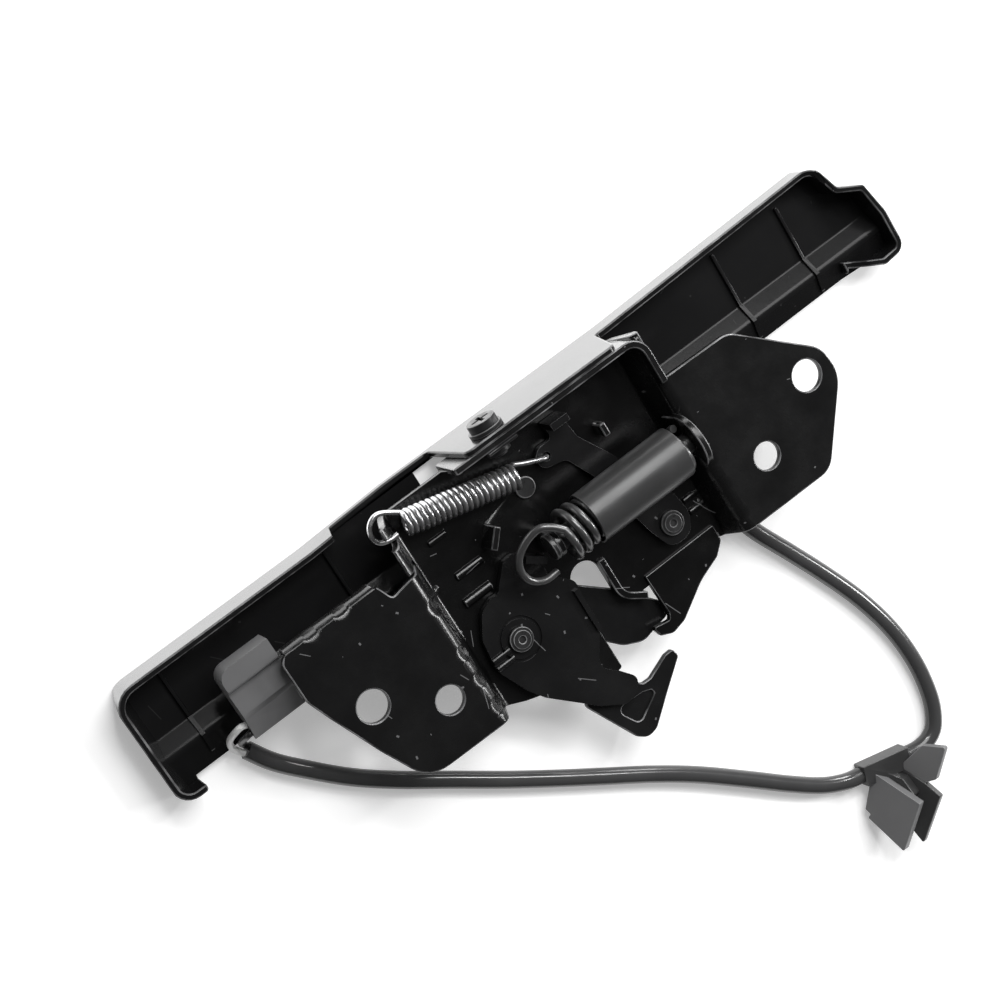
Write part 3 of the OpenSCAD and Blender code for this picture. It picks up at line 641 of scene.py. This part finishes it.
WHITE_INSULATION = Finish(
    "white_insulation",
    color=(0.94, 0.94, 0.93),
    patch_color=(0.97, 0.97, 0.96),
    roughness=0.35,
    grain_scale=2600.0,
    patch_scale=200.0,
    bump=0.06,
)
BLACK_INSULATION = Finish(
    "black_insulation",
    color=(0.009, 0.009, 0.0095),
    patch_color=(0.014, 0.014, 0.0145),
    roughness=0.33,
    grain_scale=2600.0,
    patch_scale=200.0,
    bump=0.06,
)


@dataclass
class Workshop:
    """What every sub-assembly needs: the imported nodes, the shared effects and the materials."""

    frame: dict
    effects: Effects = field(default_factory=Effects)
    materials: dict[str, bpy.types.Material] = field(default_factory=dict)
    edge_steps: int = 2
    # A wire has four sides and two more for each of these steps
    wire_steps: int = 4
    # The turn between two faces of a wire, in degrees, from which they are shaded apart
    wire_crease: float = 50.0

    def finish(self, finish: Finish) -> bpy.types.Material:
        """Give the material of a finish, built the first time that it is asked for."""
        if finish.name not in self.materials:
            self.materials[finish.name] = finish.material(self.effects)
        return self.materials[finish.name]

    def add(self, name: str, data: bpy.types.ID, finish: Finish) -> bpy.types.Object:
        """Put new data into the scene under a finish.

        Args:
            name: The piece's name.
            data: Its mesh or curve.
            finish: The finish that it gets.

        Returns:
            The new object.
        """
        data.materials.clear()
        data.materials.append(self.finish(finish))
        piece = bpy.data.objects.new(name, data)
        bpy.context.scene.collection.objects.link(piece)
        LOG.info("piece %s", name)
        return piece

    def rounded(
        self,
        node: str,
        body: Body,
        finish: Finish,
        width: float,
        rim: float = -100.0,
        least_turn: float = 34.0,
        clear: float = 0.0,
        crease: float = 36.0,
    ) -> bpy.types.Object:
        """Stand in for a node with a copy whose outer edges are broken.

        Args:
            node: The node's name.
            body: The body that the node is in.
            finish: The finish of the copy.
            width: Width of the broken edge, in millimetres.
            rim: Height in millimetres above which the edges show wear and a painted highlight.
            least_turn: The smallest turn between two faces, in degrees, that counts as an edge.
            clear: Distance in millimetres that the broken edges keep from pressed detail, or 0 to break
                every edge.
            crease: The turn between two faces, in degrees, from which they are shaded apart.

        Returns:
            The new piece.
        """
        source = self.frame["nodes"][node].data
        bm = bmesh.new()
        bm.from_mesh(source)
        bmesh.ops.remove_doubles(bm, verts=bm.verts, dist=MERGE)
        bmesh.ops.dissolve_limit(bm, angle_limit=math.radians(FLAT_TURN), verts=bm.verts, edges=bm.edges)
        mark = bm.loops.layers.float.new("edge")
        turn, cut_turn = math.radians(least_turn), math.radians(CUT_TURN)
        outer = [e for e in bm.edges if len(e.link_faces) == 2 and e.calc_face_angle_signed(0.0) > turn]
        cut = [e for e in outer if e.calc_face_angle_signed(0.0) > cut_turn]
        wear_and_highlight = self._along(cut)
        if clear > 0:
            soft = [e for e in bm.edges if turn < abs(e.calc_face_angle_signed(0.0)) < cut_turn]
            pressed = self._along(soft)
            outer = [e for e in cut if all(pressed.find(v.co)[2] > clear * MM for v in e.verts)]
        made = bmesh.ops.bevel(
            bm,
            geom=outer,
            offset=width * MM,
            offset_type="OFFSET",
            affect="EDGES",
            segments=self.edge_steps,
            profile=0.5,
            material=-1,
            clamp_overlap=clear == 0,
            loop_slide=True,
        )
        # Faces by a cut edge get the edge mark, which paints them lighter: partly wear, partly a painted
        # highlight
        for face in made["faces"]:
            away = wear_and_highlight.find(face.calc_center_median())[2]
            if away is None or away > WEAR_AND_HIGHLIGHT_REACH * width * MM:
                continue
            for loop in face.loops:
                loop[mark] = 1.0 if loop.vert.co.z > rim * MM else 0.0
        low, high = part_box(node)
        inside = all(
            low[i] - BOX_SLACK <= v.co[i] <= high[i] + BOX_SLACK for v in bm.verts for i in range(3)
        )
        if not inside:
            LOG.warning("%s keeps its sharp edges", node)
            bm.clear()
            bm.from_mesh(source)
            bmesh.ops.remove_doubles(bm, verts=bm.verts, dist=MERGE)
        mesh = bpy.data.meshes.new(node + "_skin")
        bm.to_mesh(mesh)
        bm.free()
        mesh.shade_smooth()
        mesh.set_sharp_from_angle(angle=math.radians(crease))
        piece = self.add(node + "_skin", mesh, finish)
        steady = piece.modifiers.new("flat_faces", "WEIGHTED_NORMAL")
        steady.keep_sharp = True
        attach(piece, body.value)
        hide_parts(node)
        return piece

    @staticmethod
    def _along(edges: Sequence[bmesh.types.BMEdge], step: float = 0.4 * MM) -> KDTree:
        """Collect points along some edges, to tell later which faces lie by them.

        Args:
            edges: The edges.
            step: The longest distance between two points of an edge, in metres.

        Returns:
            A tree of the points.
        """
        points: list[Vector] = []
        for edge in edges:
            a, b = (v.co for v in edge.verts)
            parts = max(1, math.ceil((b - a).length / step))
            points += [a.lerp(b, i / parts) for i in range(parts + 1)]
        tree = KDTree(len(points))
        for i, point in enumerate(points):
            tree.insert(point, i)
        tree.balance()
        return tree

    def wire(
        self, name: str, line: Sequence[Vector], radius: float, finish: Finish, as_mesh: bool
    ) -> bpy.types.Object:
        """Draw round wire or tube along a line.

        Args:
            name: The piece's name.
            line: The points of its middle, in metres.
            radius: Half its thickness, in metres.
            finish: The finish that it gets.
            as_mesh: Whether it ends as a mesh rather than a curve.

        Returns:
            The new piece.
        """
        curve = bpy.data.curves.new(name, "CURVE")
        curve.dimensions = "3D"
        curve.bevel_depth = radius
        curve.bevel_resolution = self.wire_steps
        curve.use_fill_caps = True
        spline = curve.splines.new("POLY")
        spline.points.add(len(line) - 1)
        for point, at in zip(spline.points, line):
            point.co = (*at, 1.0)
        spline.use_smooth = True
        if not as_mesh:
            return self.add(name, curve, finish)
        drawn = bpy.data.objects.new(name, curve)
        bpy.context.scene.collection.objects.link(drawn)
        bpy.context.view_layer.update()
        solid = drawn.evaluated_get(bpy.context.evaluated_depsgraph_get())
        mesh = bpy.data.meshes.new_from_object(solid)
        bpy.data.objects.remove(drawn)
        bpy.data.curves.remove(curve)
        # The end caps come loose from the wire, so they are joined to it
        bm = bmesh.new()
        bm.from_mesh(mesh)
        bmesh.ops.remove_doubles(bm, verts=bm.verts, dist=CAP_MERGE)
        bm.to_mesh(mesh)
        bm.free()
        mesh.shade_smooth()
        mesh.set_sharp_from_angle(angle=math.radians(self.wire_crease))
        return self.add(name, mesh, finish)


@dataclass
class PhotoView:
    """The camera, set as the photograph was taken.

    It looks at a point from the direction named towards, with lengths in metres, the focal length and the
    picture in pixels and the sensor in millimetres.
    """

    look: Vector = field(default_factory=lambda: Vector((-20.5, 28.5, 2.3)) * MM)
    towards: Vector = field(default_factory=lambda: Vector((-0.26025, 0.29028, 0.92087)).normalized())
    right: Vector = field(default_factory=lambda: Vector((0.7731, -0.5086, 0.3788)))
    distance: float = 0.73
    focal_px: float = 2372.0
    image_px: float = 1000.0
    sensor: float = 36.0
    nearest: float = 0.01

    def build(self) -> None:
        """Make the camera and set it as the scene's own."""
        side = (self.right - self.towards * self.right.dot(self.towards)).normalized()
        up = self.towards.cross(side)
        data = bpy.data.cameras.new("photo_camera")
        data.sensor_width = self.sensor
        data.lens = self.focal_px / self.image_px * self.sensor
        data.clip_start = self.nearest
        camera = bpy.data.objects.new("photo_camera", data)
        turn = Matrix((side, up, self.towards)).transposed().to_4x4()
        camera.matrix_world = Matrix.Translation(self.look + self.towards * self.distance) @ turn
        bpy.context.scene.collection.objects.link(camera)
        bpy.context.scene.camera = camera
        LOG.info("camera at %s", tuple(round(c, 3) for c in camera.matrix_world.translation))


@dataclass(frozen=True)
class Lamp:
    """One square soft lamp that points at the object, with its sizes in metres and its power in watts."""

    name: str
    source: Numbers
    distance: float
    size: float
    power: float

    def hang(self) -> None:
        """Put the lamp into the scene, along the direction from the object to it."""
        data = bpy.data.lights.new(self.name, "AREA")
        data.shape = "SQUARE"
        data.size = self.size
        data.energy = self.power
        lamp = bpy.data.objects.new(self.name, data)
        source = Vector(self.source)
        lamp.location = source.normalized() * self.distance
        lamp.rotation_euler = source.to_track_quat("Z", "Y").to_euler()
        bpy.context.scene.collection.objects.link(lamp)


@dataclass
class Studio:
    """A white table, a soft lamp from behind, small lamps for the glints and a dim room."""

    room: float = 0.22
    room_mirrored: float = 0.05
    lamps: tuple[Lamp, ...] = (
        Lamp("key_lamp", (0.33, 0.52, 0.79), distance=1.1, size=0.66, power=9.6),
        Lamp("side_lamp", (0.86, -0.27, 0.46), distance=1.2, size=0.22, power=6.0),
        Lamp("low_lamp", (0.86, 0.5, 0.14), distance=1.3, size=0.3, power=6.0),
        Lamp("bend_lamp", (0.12, 0.7, 0.7), distance=1.2, size=0.14, power=1.8),
        Lamp("glint_lamp", (0.66, 0.2, 0.71), distance=1.2, size=0.12, power=2.4),
    )
    # Half the table's width in metres, and its gap below the object in millimetres
    table_size: float = 3.0
    table_gap: float = 0.05
    table_colour: Colour = (0.9, 0.9, 0.9)
    table_roughness: float = 0.9
    # How much the table glows to the camera, to mirror rays, and to mirror rays that meet the card behind
    # the shield
    lift: float = 0.28
    table_mirrored: float = 0.25
    card_mirrored: float = 2.7
    # Where along Y the table turns into the card, in millimetres
    card_edge: Numbers = (42.5, 46.0)

    def build(self) -> None:
        """Make the table, the lamps and the room."""
        bpy.context.scene.view_settings.view_transform = "Standard"
        self._table()
        self._room()
        for lamp in self.lamps:
            lamp.hang()

    def _table(self) -> None:
        """Lay a wide pale table under the object."""
        bm = bmesh.new()
        bmesh.ops.create_grid(bm, x_segments=1, y_segments=1, size=self.table_size)
        bmesh.ops.translate(bm, verts=bm.verts, vec=(0.0, 0.0, (TABLE_Z - self.table_gap) * MM))
        mesh = bpy.data.meshes.new("table")
        bm.to_mesh(mesh)
        bm.free()
        table = bpy.data.objects.new("table", mesh)
        bpy.context.scene.collection.objects.link(table)
        mat = bpy.data.materials.new("table_white")
        mat.use_nodes = True
        nodes, links = mat.node_tree.nodes, mat.node_tree.links
        shader = nodes["Principled BSDF"]
        shader.inputs["Base Color"].default_value = (*self.table_colour, 1.0)
        shader.inputs["Roughness"].default_value = self.table_roughness
        shader.inputs["Emission Color"].default_value = WHITE
        # The part of the table behind the shield is a bright card to mirror rays
        axes = nodes.new("ShaderNodeSeparateXYZ")
        links.new(nodes.new("ShaderNodeTexCoord").outputs["Object"], axes.inputs[0])
        card = nodes.new("ShaderNodeMapRange")
        near, far = self.card_edge
        card.inputs["From Min"].default_value = near * MM
        card.inputs["From Max"].default_value = far * MM
        card.inputs["To Min"].default_value = self.table_mirrored
        card.inputs["To Max"].default_value = self.card_mirrored
        links.new(axes.outputs["Y"], card.inputs["Value"])
        glow = self._by_ray(mat.node_tree, seen=self.lift, mirrored=card.outputs[0], other=0.0)
        links.new(glow, shader.inputs["Emission Strength"])
        mesh.materials.append(mat)

    @staticmethod
    def _by_ray(
        tree: bpy.types.NodeTree, seen: float, mirrored: float | bpy.types.NodeSocket, other: float
    ) -> bpy.types.NodeSocket:
        """Give one value to what the camera sees, one to mirror images and one to the light itself.

        Args:
            tree: The material's or world's node tree.
            seen: The value for camera and glass rays.
            mirrored: The value for mirror rays, a number or a socket.
            other: The value for all other rays.

        Returns:
            The socket of the value.
        """
        path = tree.nodes.new("ShaderNodeLightPath")
        either = tree.nodes.new("ShaderNodeMath")
        either.operation = "MAXIMUM"
        tree.links.new(path.outputs["Is Camera Ray"], either.inputs[0])
        tree.links.new(path.outputs["Is Transmission Ray"], either.inputs[1])
        value = None
        for ray, amount in ((path.outputs["Is Glossy Ray"], mirrored), (either.outputs[0], seen)):
            swap = tree.nodes.new("ShaderNodeMapRange")
            if isinstance(amount, float):
                swap.inputs["To Max"].default_value = amount
            else:
                tree.links.new(amount, swap.inputs["To Max"])
            tree.links.new(ray, swap.inputs["Value"])
            if value is None:
                swap.inputs["To Min"].default_value = other
            else:
                tree.links.new(value, swap.inputs["To Min"])
            value = swap.outputs[0]
        return value

    def _room(self) -> None:
        """Light the scene dimly from all round, with a white backdrop for the camera."""
        world = bpy.data.worlds.new("room")
        world.use_nodes = True
        bpy.context.scene.world = world
        nodes, links = world.node_tree.nodes, world.node_tree.links
        back = nodes["Background"]
        back.inputs["Color"].default_value = WHITE
        strength = self._by_ray(world.node_tree, seen=1.0, mirrored=self.room_mirrored, other=self.room)
        links.new(strength, back.inputs["Strength"])


@dataclass
class Wiring:
    """Two cable sleeves with their plug, the leads from the switch and the clip on the wing."""

    sleeve_r: float = 3.0
    # How far the drawn sleeves stay inside the solid ones
    sleeve_skin: float = 0.02
    sleeve_steps: int = 6
    lead_r: float = 1.1
    lead_steps: int = 8
    plug_edge: float = 0.35
    clip_edge: float = 0.4
    # The sleeves' routes, in the pan's millimetres, with the second one's height above the table
    first_route: tuple[Numbers, ...] = (
        (-123.5, 5.0), (-119.0, -3.0), (-112.5, -11.0), (-101.5, -23.0), (-89.0, -34.0), (-75.5, -44.5),
        (-61.5, -55.5), (-47.5, -66.0), (-33.0, -76.5), (-17.0, -88.0), (-4.0, -98.5), (10.0, -111.5),
        (21.5, -122.5), (31.0, -130.6), (39.0, -135.2), (45.0, -137.0),
    )
    second_route: tuple[Numbers, ...] = (
        (53.5, -15.0, 13.0), (53.5, -21.0, 10.0), (53.6, -27.0, 4.0), (54.5, -33.0, 0.0),
        (57.5, -42.0, 0.0), (64.0, -55.0, 0.0), (71.0, -69.5, 0.0), (77.5, -85.0, 0.0),
        (82.0, -101.0, 0.0), (83.5, -116.5, 0.0), (82.0, -130.5, 0.0), (78.5, -139.0, 0.0),
        (74.5, -142.5, 0.0), (69.0, -143.3, 0.0), (63.0, -142.0, 0.0),
    )
    white_points: tuple[Numbers, ...] = (
        (-121.1, 16.5, -7.4), (-123.3, 16.7, -8.2), (-126.6, 13.2, -15.6), (-127.2, 9.8, -19.6),
        (-126.1, 7.0, -21.9), (-124.6, 4.4, -22.6),
    )
    black_points: tuple[Numbers, ...] = (
        (-121.1, 13.6, -7.6), (-122.7, 13.2, -8.2), (-124.2, 10.6, -15.4), (-124.0, 8.6, -19.4),
        (-123.6, 7.6, -21.8), (-122.4, 5.6, -22.6),
    )

    def build(self, shop: Workshop) -> None:
        """Args:
            shop: The workshop.
        """
        level = TABLE_Z + self.sleeve_r
        first = smooth_line([place(x, y, level) for x, y in self.first_route], self.sleeve_steps)
        second = smooth_line([place(x, y, level + z) for x, y, z in self.second_route], self.sleeve_steps)
        leads = [
            self._lead(shop, "white_lead", self.white_points, WHITE_INSULATION),
            self._lead(shop, "black_lead", self.black_points, BLACK_INSULATION),
        ]
        housing = shop.rounded("connector_housing", Body.FRAME, SLEEVE_PLASTIC, self.plug_edge)
        cover = shop.rounded("connector_cover", Body.FRAME, CONNECTOR_PLASTIC, self.plug_edge)
        latch = shop.rounded("connector_latch", Body.FRAME, CONNECTOR_PLASTIC, self.plug_edge)
        tube_a = self._sleeve(shop, "conduit_a", first)
        tube_b = self._sleeve(shop, "conduit_b", second)
        shop.rounded("harness_clip", Body.FRAME, CLIP_PLASTIC, self.clip_edge)

    def _lead(
        self, shop: Workshop, node: str, points: Sequence[Numbers], finish: Finish
    ) -> bpy.types.Object:
        """Draw one lead from the switch to the first sleeve's mouth.

        Args:
            shop: The workshop.
            node: The node that the lead stands for.
            points: The points that it passes through, in the pan's millimetres.
            finish: Its finish.

        Returns:
            The new piece.
        """
        line = smooth_line([place(*p) for p in points], self.lead_steps)
        piece = shop.wire(node + "_wire", line, self.lead_r * MM, finish, as_mesh=True)
        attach(piece, Body.FRAME.value)
        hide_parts(node)
        return piece

    def _sleeve(self, shop: Workshop, node: str, line: Sequence[Vector]) -> bpy.types.Object:
        """Draw one cable sleeve as a curve.

        Args:
            shop: The workshop.
            node: The node that the sleeve stands for.
            line: The points of its middle, in metres.

        Returns:
            The new piece.
        """
        radius = (self.sleeve_r - self.sleeve_skin) * MM
        piece = shop.wire(node + "_tube", line, radius, CONDUIT_SKIN, as_mesh=False)
        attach(piece, Body.FRAME.value)
        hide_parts(node)
        return piece


@dataclass
class Housing:
    """The pressed bracket, the moulded shield behind it, what holds them together and the switch."""

    bracket_edge: float = 0.45
    bracket_rim: float = -8.5
    bracket_turn: float = 20.0
    bracket_clear: float = 1.0
    bracket_crease: float = 58.0
    shield_edge: float = 0.5
    shield_rim: float = -18.5
    shield_clear: float = 0.6
    shield_crease: float = 20.0
    screw_edge: float = 0.35
    nut_edge: float = 0.2
    rivet_edge: float = 0.35
    switch_edge: float = 0.5

    def build(self, shop: Workshop) -> None:
        """Make the fixed shell of the latch.

        Args:
            shop: The workshop.
        """
        shop.rounded(
            "base_bracket",
            Body.FRAME,
            PAN_STEEL_PAINTED_SHADE,
            self.bracket_edge,
            rim=self.bracket_rim,
            least_turn=self.bracket_turn,
            clear=self.bracket_clear,
            crease=self.bracket_crease,
        )
        shop.rounded(
            "cable_shield",
            Body.FRAME,
            SHIELD_PLASTIC,
            self.shield_edge,
            rim=self.shield_rim,
            clear=self.shield_clear,
            crease=self.shield_crease,
        )
        shop.rounded("cover_screw", Body.FRAME, SCREW_STEEL, self.screw_edge)
        shop.rounded("clip_nut", Body.FRAME, SCREW_STEEL, self.nut_edge)
        shop.rounded("pan_rivet", Body.FRAME, RIVET_STEEL, self.rivet_edge)
        shop.rounded("switch_housing", Body.FRAME, SWITCH_PLASTIC, self.switch_edge)


@dataclass
class Latchwork:
    """The plates that move, with their pivots and washers."""

    plate_edge: float = 0.45
    pivot_edge: float = 0.25

    def build(self, shop: Workshop) -> None:
        """Make the moving plates and their pivots.

        Args:
            shop: The workshop.
        """
        for node, body in (
            ("claw", Body.CLAW),
            ("safety_lever", Body.SAFETY),
            ("safety_hook", Body.SAFETY),
            ("pawl", Body.RELEASE),
            ("release_lever", Body.RELEASE),
        ):
            shop.rounded(node, body, COATED_STEEL, self.plate_edge)
        for node, body in (
            ("claw_rivet", Body.FRAME),
            ("pivot_washer", Body.FRAME),
            ("lever_washer", Body.FRAME),
            ("pawl_pin", Body.RELEASE),
        ):
            shop.rounded(node, body, RIVET_STEEL, self.pivot_edge)


@dataclass
class Springs:
    """The lift spring in its sleeve, on its pin, and the lever spring across the pan."""

    hook_steps: int = 8
    lift_wire_r: float = 1.3
    # The coils narrow a little before they enter the sleeve
    lift_r: float = 7.5
    lift_inner_r: float = 6.7
    sleeve_start: float = 1.5
    neck_before: float = 4.0
    neck_length: float = 3.0
    # Degrees from the Y axis to the first coil's start, and from point to point
    lift_turn: int = 60
    lift_step: int = 12
    lift_pitch: float = 3.6
    lift_axis: Numbers = (6.5, 3.0)
    lift_span: Numbers = (-8.4, 41.5)
    lift_hook: tuple[Numbers, ...] = (
        (-14.4, -2.6, -1.2), (-19.4, -2.4, -0.6), (-23.6, 0.4, 0.4), (-25.4, 5.0, 1.6),
        (-24.0, 9.8, 3.0), (-20.0, 13.4, 5.0), (-15.0, 15.0, 7.0), (-11.2, 13.2, 8.4),
    )
    # Where the real spring stops being still, and from where it moves wholly with the safety lever
    lift_still: Numbers = (-10.4, 6.5, 3.0)
    lift_moving: Numbers = (-15.0, 6.5, 3.0)
    lever_wire_r: float = 0.85
    lever_r: float = 3.65
    lever_coils: int = 21
    lever_steps: int = 24
    lever_level: float = -4.4
    lever_ends: tuple[Numbers, ...] = ((-47.0, 38.8), (-8.2, 29.4))
    lever_hook: tuple[Numbers, ...] = (
        (-50.4, 37.2), (-53.4, 37.2), (-56.8, 38.6), (-57.8, 42.0), (-55.8, 45.2), (-52.0, 46.0),
    )
    # From the coils to the release lever's ear, with heights above the spring's level
    lever_reach: tuple[Numbers, ...] = (
        (-4.6, 31.6, 0.8), (-0.6, 29.9, 0.8), (2.6, 28.5, 0.0), (3.9, 28.0, -2.4), (3.9, 28.0, -4.3),
    )
    # Where the real spring stops being still, and from where it moves wholly with the release lever
    lever_still: Numbers = (-50.0, 38.8, -4.4)
    lever_moving: Numbers = (3.4, 28.2, -4.4)
    sleeve_edge: float = 0.25
    pin_edge: float = 0.3

    def build(self, shop: Workshop) -> None:
        """Make both springs, the sleeve and the pin.

        Args:
            shop: The workshop.
        """
        radius = self.lift_wire_r * MM
        lift = shop.wire("lift_spring_wire", self.lift_line(), radius, DARK_WIRE, as_mesh=True)
        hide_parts("lift_spring")
        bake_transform(lift)
        radius = self.lever_wire_r * MM
        lever = shop.wire("lever_spring_wire", self.lever_line(), radius, ZINC_WIRE, as_mesh=True)
        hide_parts("lever_spring")
        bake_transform(lever)
        shop.rounded("spring_sleeve", Body.FRAME, SLEEVE_PLASTIC, self.sleeve_edge)
        shop.rounded("spring_pin", Body.FRAME, RIVET_STEEL, self.pin_edge)

    def lift_line(self) -> list[Vector]:
        """Follow the lift spring's wire from its hook along its coils.

        Returns:
            The points of the wire's middle, in metres.
        """
        start, end = self.lift_span
        across, level = self.lift_axis
        coil = []
        for a in range(0, int(360 * (end - start) / self.lift_pitch), self.lift_step):
            turn = math.radians(self.lift_turn + a)
            x = start + self.lift_pitch * a / 360
            inside = max(0.0, min(1.0, (x - self.sleeve_start + self.neck_before) / self.neck_length))
            r = self.lift_r + (self.lift_inner_r - self.lift_r) * inside
            coil.append(place(x, across + r * math.cos(turn), level + r * math.sin(turn)))
        hook = smooth_line([place(*p) for p in self.lift_hook] + [coil[0]], self.hook_steps)
        return hook + coil[1:]

    def lever_line(self) -> list[Vector]:
        """Follow the lever spring's wire from its left hook to the release lever's ear.

        Returns:
            The points of the wire's middle, in metres.
        """
        level = self.lever_level
        a, b = (Vector((*end, level)) for end in self.lever_ends)
        up = Vector((0.0, 0.0, 1.0))
        side = up.cross((b - a).normalized())
        steps = self.lever_steps * self.lever_coils
        coil = []
        for i in range(steps + 1):
            turn = math.radians(360 / self.lever_steps * i)
            p = a.lerp(b, i / steps) + self.lever_r * (math.cos(turn) * side + math.sin(turn) * up)
            coil.append(place(*p))
        reach = [place(x, y, level + z) for x, y, z in self.lever_reach]
        hook = smooth_line([place(*p, level) for p in self.lever_hook] + [coil[0]], self.hook_steps)
        return hook + coil[1:-1] + smooth_line([coil[-1]] + reach, self.hook_steps)


def main() -> None:
    """Build the whole scene in order."""
    logging.basicConfig(level=logging.INFO, format="%(message)s")
    for start in list(bpy.data.objects):
        bpy.data.objects.remove(start)
    shop = Workshop(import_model())
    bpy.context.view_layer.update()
    PhotoView().build()
    Wiring().build(shop)
    Studio().build()
    Housing().build(shop)
    Latchwork().build(shop)
    Springs().build(shop)


if __name__ == "__main__":
    main()
